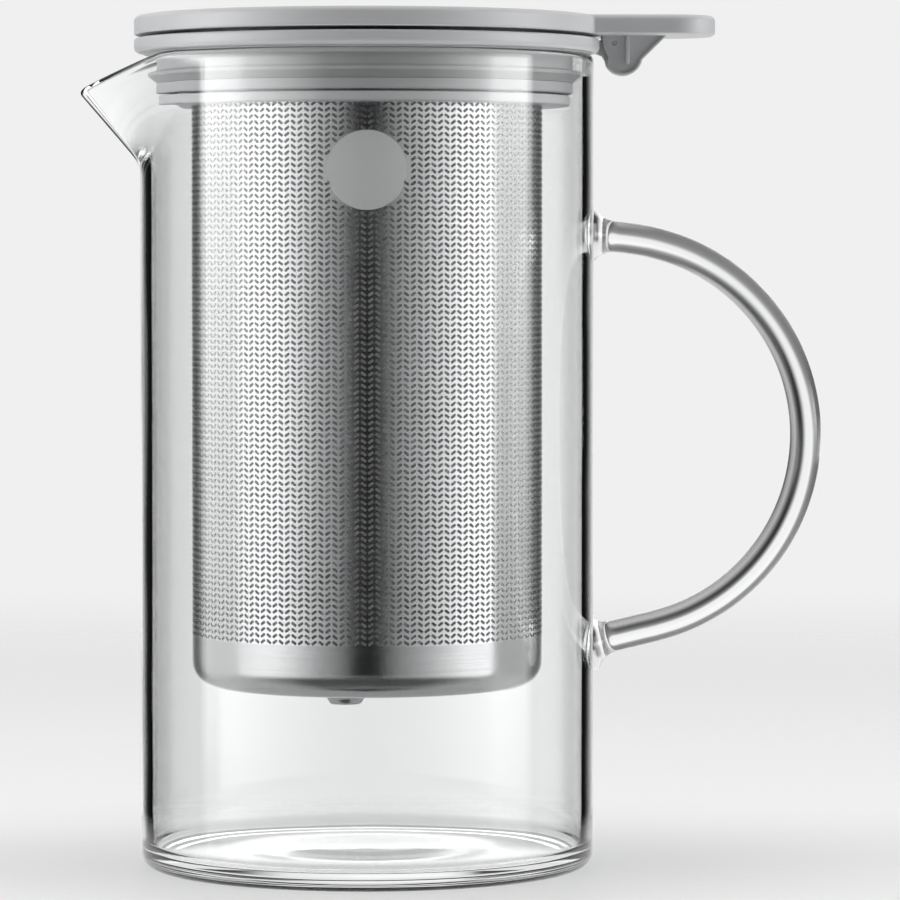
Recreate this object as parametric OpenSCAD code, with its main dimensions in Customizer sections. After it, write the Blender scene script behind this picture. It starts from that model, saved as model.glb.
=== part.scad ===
// Fruit infuser pitcher: a glass jug with a lift-out infuser that hangs from a flip-lid collar.
// Millimetres. Origin in the middle of the flat base, +Z up, spout towards -X, handle towards +X.

/* [Glass body] */
// Outside diameter of the glass
body_d = 105; // [90:1:130]
// Height of the glass rim above the table
body_h = 188; // [165:1:260]
// Thickness of the glass wall
wall_t = 2.6; // [1.8:0.1:4]
// Thickness of the glass floor
floor_t = 4.7; // [3:0.1:8]
// Radius of the outside corner at the base
base_corner_r = 5.6; // [4.5:0.1:9]

/* [Spout] */
// Drop from the rim to the root of the spout
spout_drop = 25.5; // [18:0.5:40]
// Reach of the spout tip beyond the wall
spout_reach = 13.5; // [8:0.5:20]
// Drop from the rim to the middle of the spout tip
spout_tip_drop = 8.6; // [5:0.1:12]
// Radius of the rounded spout tip
spout_tip_r = 3; // [2.6:0.1:5]
// Thickness of the glass at the spout
spout_wall_t = 2; // [1.2:0.1:2.4]

/* [Handle] */
// Diameter of the glass rod
rod_d = 7; // [5:0.1:10]
// Radius of the rod's centre line
handle_r = 46.7; // [38:0.1:55]
// Height of the middle of the handle
handle_mid_z = 99.8; // [90:0.1:110]
// Distance from the wall to the centre of the handle's arc
handle_set = 2.2; // [0.5:0.1:6]
// Radius of the flare where the rod is fused to the wall
flare_r = 3.3; // [2:0.1:5]

/* [Collar] */
// Overhang of the collar flange beyond the glass
flange_overhang = 1.3; // [0.5:0.1:3]
// Thickness of the collar flange
flange_t = 3.3; // [2.5:0.1:5]
// Radius of the flange's lower edge
flange_edge_r = 1.2; // [0.5:0.1:1.5]
// Depth of the neck below the flange
neck_depth = 9.6; // [9:0.1:14]
// Thickness of the neck, from the mouth to its outside
neck_t = 4.6; // [4:0.1:6]
// Height of the neck's lower ring, which holds the seal up
neck_ring_h = 2.5; // [1.5:0.1:3]

/* [Neck seal] */
// Depth of the seal's groove in the neck
seal_groove_d = 1.4; // [1:0.1:1.6]
// Reach of the soft lip beyond the neck
lip_reach = 2; // [1.2:0.1:3]
// Height of the lip where it leaves the sleeve
lip_h = 2.6; // [1.5:0.1:4]
// Thickness of the seal's rim pad, with its clearance, which the flange rests on
rim_pad_t = 0.4; // [0.2:0.1:1]

/* [Lid] */
// Thickness of the lid
lid_t = 4.4; // [3.5:0.1:7]
// Gap between the lid and the collar
lid_gap = 0.8; // [0.5:0.1:1.5]
// Radius of the lid's upper edge
lid_edge_r = 1.2; // [0.5:0.1:2]
// Thickness of the lid's top wall over its hollow
lid_skin_t = 2.4; // [1.5:0.1:3]
// Depth of the lid's skirt in the mouth
skirt_h = 3; // [2:0.1:5]
// Thickness of the lid's skirt
skirt_t = 3; // [1.5:0.1:4]
// Reach of the thumb tab beyond the lid
tab_reach = 26.9; // [20:0.1:34]
// Width of the thumb tab
tab_w = 30; // [22:0.5:40]
// Radius of the thumb tab's corners
tab_corner_r = 10.5; // [5:0.5:11]
// Width of the lid seal
lid_seal_w = 4; // [2.5:0.1:6]
// Depth of the lid seal's groove
lid_seal_d = 0.8; // [0.5:0.1:1.2]

/* [Hinge] */
// Distance from the flange's edge out to the hinge pin
pivot_out = 5.8; // [5.2:0.1:9]
// Drop from the lid's underside to the hinge pin
pivot_drop = 4.6; // [4.3:0.1:7]
// Radius of the round end of the collar's hinge arm
arm_end_r = 3.9; // [3:0.1:4]
// Thickness of the collar's hinge arm
arm_t = 2.2; // [1.5:0.1:6]
// Radius of the round end of the lid's cheeks
cheek_end_r = 3; // [2:0.1:3.6]
// Thickness of each cheek
cheek_t = 1.4; // [1:0.1:3]
// Reach of the cheeks along the tab, out from the pin
gusset_reach = 9.7; // [6:0.1:14]
// Diameter of the hinge pin
pin_d = 2; // [1.2:0.1:2.6]

/* [Infuser] */
// Height of the infuser's ring
ring_h = 2.3; // [1.5:0.1:4]
// Height of the ring's spigot in the collar
spigot_h = 5.6; // [5:0.1:7]
// Thickness of the spigot outside the strainer wall
spigot_t = 2.1; // [1.2:0.1:3]
// Height of the basket below its ring
basket_h = 134; // [100:1:150]
// Thickness of the strainer wall
mesh_t = 0.4; // [0.3:0.1:1]
// Thickness of the basket's bottom
base_t = 0.6; // [0.4:0.1:1.2]
// Radius of the basket's bottom corner
basket_corner_r = 5.8; // [3:0.1:9]
// Height of the pressed feet
foot_h = 1.9; // [1:0.1:3]
// Diameter of the pressed feet at the bottom of the basket
foot_d = 8.3; // [6:0.1:12]

/* [Strainer slots] */
// Slots around the strainer
slot_columns = 24; // [12:2:32]
// Rows of slots
slot_rows = 11; // [6:1:14]
// Length of a slot
slot_len = 7.6; // [4:0.1:8.5]
// Width of a slot
slot_w = 2.2; // [1:0.1:3]
// Tilt of a slot from level
slot_tilt = 35; // [15:1:50]
// Height of the plain band below the slots
plain_band_h = 12.5; // [10:0.5:20]
// Height of the plain band above the slots
top_band_h = 1.2; // [0.5:0.1:4]

/* [Bayonet] */
// Number of bayonet lugs on the spigot
lug_count = 3; // [2:1:4]
// Angle that one lug takes
lug_angle = 24; // [12:1:30]
// Angle from the locked place to the entry slot
lock_angle = 40; // [35:1:50]
// Reach of a lug beyond the spigot
lug_reach = 1.6; // [1:0.1:1.8]
// Height of a lug
lug_h = 1.8; // [1.2:0.1:2]
// Height of a lug above the ring
lug_rise = 2.5; // [2.2:0.1:3]

/* [Hidden] */
$fn = 96;
// Fineness of the shapes that a hull joins
hull_fn = 40;
// Overrun of every cut
over = 0.5;
// Clearances: lip to bore, pad to rim, spigot to mouth, lug to groove, skirt to mouth and cheek to arm
lip_gap = 0.3;
pad_gap = 0.1;
spigot_gap = 0.3;
lug_gap = 0.3;
skirt_gap = 0.8;
cheek_gap = 0.2;
// Clearances of the fused, glued and pressed fits, and of the pin that turns in the arm
weld_gap = 0.02;
pin_gap = 0.05;
// Step from the neck in to the infuser's ring, and the seam between them
ring_step = 0.6;
seam_gap = 0.4;
// Land of plastic inside the strainer wall, and the wall's length in the ring
ring_land = 1.2;
mesh_seat = 4;
// Straight side above the basket's bottom corner, and its lap inside the strainer wall
base_side_h = 1.2;
lap_h = 4;
// Thickness of the lip at its edge
lip_edge_t = 0.9;
// Gap from the lid seal down to the collar, and from the skirt out to the lid seal
lid_seal_gap = 0.05;
lid_seal_set = 2.5;
// Gap from the flange to the cheeks, and the depth of the arm's root in the flange
cheek_set = 0.5;
arm_root = 2;
// Rib and dimple on the outside of each cheek
rib_w = 0.9;
rib_t = 0.7;
rib_drop = 1.8;
dimple_d = 1.3;
dimple_deep = 0.4;
// Wall that closes the pin's blind end
pin_cap_t = 0.5;
// Radius of the circle of feet, and where the first foot is
foot_ring_r = 28;
foot_count = 3;
foot_angle = 260;
// Extra angle of the bayonet's entry slots
entry_spare_angle = 6;
// Land by which the flare stands off the rod
flare_land = 0.15;
// Shares of the hinge's round ends that its webs start from
web_share = 0.85;
web_low_share = 0.45;
// Share of the foot's width that its flat bottom has
foot_flat_share = 0.6;
// Share of the flange's thickness by which the arm's root stays inside it
arm_root_share = 0.1;

// Radii, from the glass inwards
body_r = body_d / 2;
bore_r = body_r - wall_t;
rim_r = wall_t / 2;
floor_corner_r = base_corner_r - wall_t;
lip_r = bore_r - lip_gap;
neck_r = lip_r - lip_reach;
seal_core_r = neck_r - seal_groove_d;
mouth_r = neck_r - neck_t;
ring_r = neck_r - ring_step;
spigot_r = mouth_r - spigot_gap;
mesh_r = spigot_r - spigot_t;
mesh_bore_r = mesh_r - mesh_t;
ring_bore_r = mesh_bore_r - ring_land;
lug_r = spigot_r + lug_reach;
groove_r = lug_r + lug_gap;
flange_r = body_r + flange_overhang;
lid_r = flange_r;
skirt_r = mouth_r - skirt_gap;
lid_seal_r = skirt_r + lid_seal_set;
rod_r = rod_d / 2;

// Heights, from the rim up and down
flange_z = body_h + rim_pad_t;
flange_top = flange_z + flange_t;
lid_z = flange_top + lid_gap;
lid_top = lid_z + lid_t;
neck_z = flange_z - neck_depth;
seal_z = neck_z + neck_ring_h;
ring_top = neck_z - seam_gap;
ring_z = ring_top - ring_h;
basket_z = ring_z - basket_h;
mesh_z = basket_z + basket_corner_r + base_side_h;
mesh_top = ring_z + mesh_seat;
lug_z = ring_top + lug_rise;

// Hinge
pivot_x = flange_r + pivot_out;
pivot_z = lid_z - pivot_drop;
cheek_y = arm_t / 2 + cheek_gap;
cheek_outer_y = cheek_y + cheek_t;
tab_x = lid_r + tab_reach;

// Spout
spout_z = body_h - spout_drop;
spout_tip_x = body_r + spout_reach - spout_tip_r;
spout_tip_z = body_h - spout_tip_drop;
spout_channel_r = spout_tip_r - spout_wall_t;

// Handle
handle_x = body_r + handle_set;
handle_wall_angle = asin(handle_set / handle_r);
handle_span = 180 + 2 * handle_wall_angle + 2 * asin(wall_t / handle_r);
handle_end_z = handle_r * cos(handle_wall_angle);

// Strainer slots
slots_z = basket_z + plain_band_h;
slots_h = ring_z - top_band_h - slots_z;
row_pitch = slots_h / slot_rows;

// Half section of a straight-sided cup with a round corner at its foot
module cup_half(r, corner, z0, z1) {
    translate([0, z0]) square([r - corner, z1 - z0]);
    translate([0, z0 + corner]) square([r, z1 - z0 - corner]);
    translate([r - corner, z0 + corner]) intersection() {
        circle(corner);
        translate([-corner, -corner]) square([2 * corner, corner + over]);
    }
}

// Tube between two radii and two heights
module tube(r_out, r_in, z0, z1) {
    translate([0, 0, z0]) difference() {
        cylinder(r = r_out, h = z1 - z0);
        translate([0, 0, -over]) cylinder(r = r_in, h = z1 - z0 + 2 * over);
    }
}

// Part of a ring, from one angle on
module ring_sector(r_out, r_in, z0, z1, start, span) {
    rotate([0, 0, start]) rotate_extrude(angle = span)
        translate([r_in, z0]) square([r_out - r_in, z1 - z0]);
}

// Flat plate drawn in X and Z, from one Y to another
module xz_plate(y0, y1) {
    translate([0, y1, 0]) rotate([90, 0, 0]) linear_extrude(y1 - y0) children();
}

// Round rod along Y through the pivot
module pivot_rod(r, y0, y1) {
    translate([pivot_x, y1, pivot_z]) rotate([90, 0, 0]) cylinder(r = r, h = y1 - y0);
}

module spout_form() {
    hull() {
        translate([0, 0, spout_z]) cylinder(r = bore_r + rim_r, h = spout_drop - rim_r, $fn = hull_fn);
        translate([-spout_tip_x, 0, spout_tip_z]) sphere(r = spout_tip_r, $fn = hull_fn);
    }
}

module spout_channel() {
    channel_z = spout_z + wall_t;
    tip_z = spout_tip_z - spout_channel_r;
    top_z = body_h + over;
    hull() {
        translate([0, 0, channel_z]) cylinder(r = bore_r - over, h = top_z - channel_z, $fn = hull_fn);
        translate([-spout_tip_x, 0, tip_z])
            cylinder(r = spout_channel_r, h = top_z - tip_z, $fn = hull_fn);
    }
}

module glass_body() {
    color([0.86, 0.90, 0.91, 0.35]) difference() {
        union() {
            rotate_extrude() cup_half(body_r, base_corner_r, 0, body_h - rim_r);
            translate([0, 0, body_h - rim_r])
                rotate_extrude() translate([bore_r + rim_r, 0]) circle(rim_r);
            spout_form();
        }
        rotate_extrude() cup_half(bore_r, floor_corner_r, floor_t, body_h + over);
        spout_channel();
    }
}

// Flare of fused glass round one end of the rod, standing on the wall
module handle_flare(z) {
    foot_r = rod_r + flare_land + flare_r;
    translate([body_r - wall_t, 0, z]) rotate([0, 90, 0]) rotate_extrude() difference() {
        square([foot_r, wall_t + flare_r]);
        translate([foot_r, wall_t + flare_r]) circle(flare_r);
    }
}

module glass_handle() {
    color([0.86, 0.90, 0.91, 0.35]) difference() {
        union() {
            translate([handle_x, 0, handle_mid_z]) rotate([90, 0, 0]) rotate([0, 0, -handle_span / 2])
                rotate_extrude(angle = handle_span) translate([handle_r, 0]) circle(rod_r);
            for (side = [-1, 1]) handle_flare(handle_mid_z + side * handle_end_z);
        }
        cylinder(r = body_r + weld_gap, h = body_h);
    }
}

// Half section of the collar's flange, with a round lower edge
module flange_half() {
    translate([mouth_r, flange_z + flange_edge_r])
        square([flange_r - mouth_r, flange_t - flange_edge_r]);
    translate([mouth_r, flange_z])
        square([flange_r - flange_edge_r - mouth_r, flange_t]);
    translate([flange_r - flange_edge_r, flange_z + flange_edge_r]) circle(flange_edge_r);
}

module hinge_arm() {
    root_x = flange_r - arm_root;
    xz_plate(-arm_t / 2, arm_t / 2) {
        translate([pivot_x, pivot_z]) circle(arm_end_r);
        polygon([
            [root_x, flange_z + arm_root_share * flange_t],
            [pivot_x - web_share * arm_end_r, pivot_z - web_low_share * arm_end_r],
            [pivot_x, pivot_z],
            [pivot_x, pivot_z + web_share * arm_end_r],
            [root_x, flange_top - arm_root_share * flange_t],
        ]);
    }
}

module collar() {
    groove_z = lug_z - lug_gap;
    groove_top = lug_z + lug_h + lug_gap;
    entry_angle = lug_angle + entry_spare_angle;
    color([0.78, 0.80, 0.81]) difference() {
        union() {
            rotate_extrude() flange_half();
            tube(seal_core_r, mouth_r, seal_z - over, flange_z + over);
            tube(neck_r, mouth_r, neck_z, seal_z);
            hinge_arm();
        }
        tube(groove_r, mouth_r - over, groove_z, groove_top);
        for (i = [0 : lug_count - 1])
            ring_sector(lug_r + lug_gap / 2, mouth_r - over, neck_z - over, groove_z + over,
                i * 360 / lug_count + lock_angle - entry_spare_angle / 2, entry_angle);
        pivot_rod(pin_d / 2 + pin_gap, -arm_t, arm_t);
    }
}

module neck_seal() {
    sleeve_r = neck_r;
    pad_r = body_r - rim_r / 2;
    color([0.70, 0.72, 0.73]) rotate_extrude() polygon([
        [seal_core_r + weld_gap, seal_z],
        [sleeve_r, seal_z],
        [lip_r, seal_z + lip_h - lip_edge_t],
        [lip_r, seal_z + lip_h],
        [sleeve_r, seal_z + lip_h],
        [sleeve_r, body_h + pad_gap],
        [pad_r, body_h + pad_gap],
        [pad_r, flange_z],
        [seal_core_r + weld_gap, flange_z],
    ]);
}

// Outline of the thumb tab, seen from above
module tab_outline() {
    side_y = tab_w / 2 - tab_corner_r;
    translate([0, -tab_w / 2]) square([tab_x - tab_corner_r, tab_w]);
    translate([0, -side_y]) square([tab_x, 2 * side_y]);
    for (side = [-1, 1]) translate([tab_x - tab_corner_r, side * side_y]) circle(tab_corner_r);
}

// Outline of a hinge cheek, in X and Z
module cheek_outline() {
    top_z = lid_z + over;
    translate([pivot_x, pivot_z]) circle(cheek_end_r);
    polygon([
        [flange_r + cheek_set, top_z],
        [pivot_x - web_share * cheek_end_r, pivot_z - web_low_share * cheek_end_r],
        [pivot_x, pivot_z],
        [pivot_x + web_share * cheek_end_r, pivot_z - web_low_share * cheek_end_r],
        [pivot_x + gusset_reach, lid_z],
        [pivot_x + gusset_reach, top_z],
    ]);
}

// One hinge cheek with the rib on its outside, on the +Y side
module cheek() {
    xz_plate(cheek_y, cheek_outer_y) cheek_outline();
    xz_plate(cheek_y, cheek_outer_y + rib_t)
        translate([pivot_x, pivot_z - rib_drop]) square([rib_w, rib_drop + pivot_drop + over]);
}

// Dimple on the outside of a cheek, half way from the flange to the pin
module cheek_dimple() {
    dimple_z = lid_z - (pivot_drop - dimple_d) / 2;
    translate([(flange_r + pivot_x) / 2, cheek_outer_y - dimple_deep, dimple_z])
        rotate([-90, 0, 0]) cylinder(d = dimple_d, h = dimple_deep + over);
}

// A shape on the +Y side and its mirror image
module both_sides() {
    children();
    mirror([0, 1, 0]) children();
}

module lid_disc() {
    rotate_extrude() {
        translate([0, lid_z]) square([lid_r, lid_t - lid_edge_r]);
        translate([0, lid_z]) square([lid_r - lid_edge_r, lid_t]);
        translate([lid_r - lid_edge_r, lid_top - lid_edge_r]) circle(lid_edge_r);
    }
    tube(skirt_r, skirt_r - skirt_t, lid_z - skirt_h, lid_z + over);
}

module flip_lid() {
    hollow_r = skirt_r - skirt_t;
    color([0.80, 0.82, 0.83]) difference() {
        union() {
            lid_disc();
            translate([0, 0, lid_z]) linear_extrude(lid_t) tab_outline();
            both_sides() cheek();
        }
        translate([0, 0, lid_z - over]) cylinder(r = hollow_r, h = lid_t - lid_skin_t + over);
        tube(lid_seal_r + lid_seal_w + weld_gap, lid_seal_r - weld_gap, lid_z - over, lid_z + lid_seal_d);
        pivot_rod(pin_d / 2 + weld_gap, pin_cap_t - cheek_outer_y, cheek_outer_y + rib_t + over);
        both_sides() cheek_dimple();
    }
}

module lid_seal() {
    color([0.72, 0.74, 0.75])
        tube(lid_seal_r + lid_seal_w, lid_seal_r, flange_top + lid_seal_gap, lid_z + lid_seal_d);
}

module hinge_pin() {
    color("silver") pivot_rod(pin_d / 2, pin_cap_t - cheek_outer_y, cheek_outer_y);
}

module infuser_ring() {
    color([0.76, 0.78, 0.79]) difference() {
        union() {
            tube(ring_r, ring_bore_r, ring_z, ring_top);
            tube(spigot_r, ring_bore_r, ring_z, ring_top + spigot_h);
            for (i = [0 : lug_count - 1])
                ring_sector(lug_r, spigot_r - spigot_t / 2, lug_z, lug_z + lug_h,
                    i * 360 / lug_count, lug_angle);
        }
        tube(mesh_r + weld_gap, mesh_bore_r - weld_gap, ring_z - over, mesh_top);
    }
}

// One slanted slot through the strainer wall, on the +X side
module slot(tilt) {
    depth = 2 * (mesh_t + over);
    translate([mesh_r, 0, 0]) rotate([tilt, 0, 0]) cube([depth, slot_len, slot_w], center = true);
}

module infuser_strainer() {
    color([0.72, 0.73, 0.74]) difference() {
        tube(mesh_r, mesh_bore_r, mesh_z, mesh_top);
        for (column = [0 : slot_columns - 1], row = [0 : slot_rows - 1])
            rotate([0, 0, column * 360 / slot_columns])
                translate([0, 0, slots_z + (row + 1 / 2) * row_pitch])
                    slot(column % 2 == 0 ? slot_tilt : -slot_tilt);
    }
}

// A cone for one pressed foot, set in by a wall and carried on up past the basket's bottom by a rise
module foot_cone(inset, rise) {
    top_r = foot_d / 2 - inset;
    flat_r = foot_flat_share * top_r;
    translate([0, 0, basket_z - foot_h + inset])
        cylinder(r1 = flat_r, r2 = flat_r + (top_r - flat_r) * (foot_h + rise) / foot_h, h = foot_h + rise);
}

module at_feet() {
    for (i = [0 : foot_count - 1])
        rotate([0, 0, foot_angle + i * 360 / foot_count]) translate([foot_ring_r, 0, 0]) children();
}

module infuser_base() {
    lap_r = mesh_bore_r - weld_gap;
    inner_corner_r = basket_corner_r - base_t;
    color([0.74, 0.75, 0.76]) difference() {
        union() {
            rotate_extrude() cup_half(mesh_r, basket_corner_r, basket_z, mesh_z);
            translate([0, 0, mesh_z - over]) cylinder(r = lap_r, h = lap_h + over);
            at_feet() foot_cone(0, base_t / 2);
        }
        rotate_extrude()
            cup_half(mesh_r - base_t, inner_corner_r, basket_z + base_t, mesh_z - base_t);
        translate([0, 0, mesh_z - base_t - over])
            cylinder(r = lap_r - mesh_t, h = lap_h + base_t + 2 * over);
        at_feet() foot_cone(base_t, over);
    }
}

glass_body();
glass_handle();
collar();
neck_seal();
flip_lid();
lid_seal();
hinge_pin();
infuser_ring();
infuser_strainer();
infuser_base();
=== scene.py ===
"""Fruit infuser pitcher: a clear glass jug, a grey lid set and a perforated steel basket."""

import logging
import math
from dataclasses import dataclass
from enum import Enum
from typing import Callable, Optional, Sequence

import bmesh
import bpy
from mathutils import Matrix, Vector


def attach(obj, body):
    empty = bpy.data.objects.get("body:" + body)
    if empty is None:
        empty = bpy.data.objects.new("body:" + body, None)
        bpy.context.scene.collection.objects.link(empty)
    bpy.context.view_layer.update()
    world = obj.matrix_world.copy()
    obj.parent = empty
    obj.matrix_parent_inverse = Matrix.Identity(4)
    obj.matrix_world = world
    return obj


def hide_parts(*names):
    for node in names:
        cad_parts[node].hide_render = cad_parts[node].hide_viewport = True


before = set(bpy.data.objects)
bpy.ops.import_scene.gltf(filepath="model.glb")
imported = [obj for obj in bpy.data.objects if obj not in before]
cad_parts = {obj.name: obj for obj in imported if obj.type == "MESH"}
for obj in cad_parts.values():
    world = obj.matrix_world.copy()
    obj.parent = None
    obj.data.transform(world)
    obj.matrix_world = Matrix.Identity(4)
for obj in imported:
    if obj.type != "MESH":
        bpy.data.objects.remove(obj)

LOG = logging.getLogger("pitcher")
MM = 0.001
TAU = 2.0 * math.pi

Point2 = tuple[float, float]
Point3 = tuple[float, float, float]
Colour = tuple[float, float, float]
Span = tuple[float, float]
Levels = tuple[tuple[float, float], ...]

# Light Path depths over which a ray was mirrored, once or again, and was bent by glass, wall after wall
MIRRORED = 0.5
MIRRORED_TWICE = 1.5
ENTERED = 0.5
PAST_ONE_WALL = 2.5
PAST_TWO_WALLS = 4.5


class Body(Enum):
    """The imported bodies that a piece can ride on."""

    PITCHER = "pitcher"
    COLLAR = "collar"
    LID = "lid"
    INFUSER = "infuser"


class Slot(Enum):
    """The record's material slots."""

    GLASS = "glass"
    PLASTIC = "grey_plastic"
    SILICONE = "silicone"
    STEEL = "steel"


class Fuse(Enum):
    """How one solid is combined with another."""

    UNION = "UNION"
    CUT = "DIFFERENCE"


# Plane curves


def arc(centre: Point2, radius: float, start: float, end: float, steps: int) -> list[Point2]:
    """Points along an arc.

    Args:
        centre: Centre of the arc.
        radius: Radius of the arc.
        start: First angle in degrees.
        end: Last angle in degrees.
        steps: Number of equal steps between the two angles.

    Returns:
        The arc's points, both ends included.
    """
    points = []
    for i in range(steps + 1):
        angle = math.radians(start + (end - start) * i / steps)
        points.append((centre[0] + radius * math.cos(angle), centre[1] + radius * math.sin(angle)))
    return points


def rounded(corners: Sequence[tuple[float, float, float]], steps: int = 5) -> list[Point2]:
    """A closed outline with its corners rounded.

    Args:
        corners: Corners as (x, y, radius), in order round the outline.
        steps: Number of steps in each rounding.

    Returns:
        The outline's points.
    """
    points: list[Point2] = []
    count = len(corners)
    for i, (x, y, radius) in enumerate(corners):
        here = Vector((x, y))
        back = Vector(corners[i - 1][:2]) - here
        ahead = Vector(corners[(i + 1) % count][:2]) - here
        if radius <= 0:
            points.append((x, y))
            continue
        half = back.angle(ahead) / 2
        reach = min(radius / math.tan(half), 0.49 * back.length, 0.49 * ahead.length)
        first = here + back.normalized() * reach
        last = here + ahead.normalized() * reach
        centre = here + (back.normalized() + ahead.normalized()).normalized() * reach / math.cos(half)
        begin, end = first - centre, last - centre
        turn = begin.angle_signed(end)
        for k in range(steps + 1):
            share = k / steps
            angle = -turn * share
            cos, sin = math.cos(angle), math.sin(angle)
            points.append((
                centre.x + begin.x * cos - begin.y * sin,
                centre.y + begin.x * sin + begin.y * cos,
            ))
    return points


def inset(outline: Sequence[Point2], distance: float) -> list[Point2]:
    """An outline drawn inwards.

    Args:
        outline: Points of a closed outline, in the order that keeps its inside on the left.
        distance: How far each side moves inwards.

    Returns:
        As many points as the outline has.
    """
    moved = []
    count = len(outline)
    for i, point in enumerate(outline):
        back = Vector(point) - Vector(outline[i - 1])
        ahead = Vector(outline[(i + 1) % count]) - Vector(point)
        first = Vector((-back.y, back.x)).normalized()
        second = Vector((-ahead.y, ahead.x)).normalized()
        middle = (first + second).normalized()
        stretch = 1.0 / max(0.5, middle.dot(first))
        moved.append((point[0] + middle.x * distance * stretch, point[1] + middle.y * distance * stretch))
    return moved


def smooth_path(knots: Sequence[Point2], steps: int) -> list[Point2]:
    """A smooth open path through its knots.

    Args:
        knots: Points that the path passes through.
        steps: Number of steps between two knots.

    Returns:
        The path's points, both ends included.
    """
    points: list[Point2] = []
    last = len(knots) - 1
    for i in range(last):
        a = Vector(knots[max(i - 1, 0)])
        b, c = Vector(knots[i]), Vector(knots[i + 1])
        d = Vector(knots[min(i + 2, last)])
        for k in range(steps):
            t = k / steps
            p = 0.5 * (2 * b + (c - a) * t + (2 * a - 5 * b + 4 * c - d) * t ** 2
                       + (3 * b - a - 3 * c + d) * t ** 3)
            points.append((p.x, p.y))
    points.append(tuple(knots[last]))
    return points


def softplus(value: float, softness: float) -> float:
    """A ramp that starts at zero with a soft bend."""
    scaled = value / softness
    if scaled > 30:
        return value
    return softness * math.log1p(math.exp(scaled))


def smoothstep(low: float, high: float, value: float) -> float:
    """A smooth step from 0 at low to 1 at high."""
    t = min(1.0, max(0.0, (value - low) / (high - low)))
    return t * t * (3 - 2 * t)


# Solids


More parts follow.
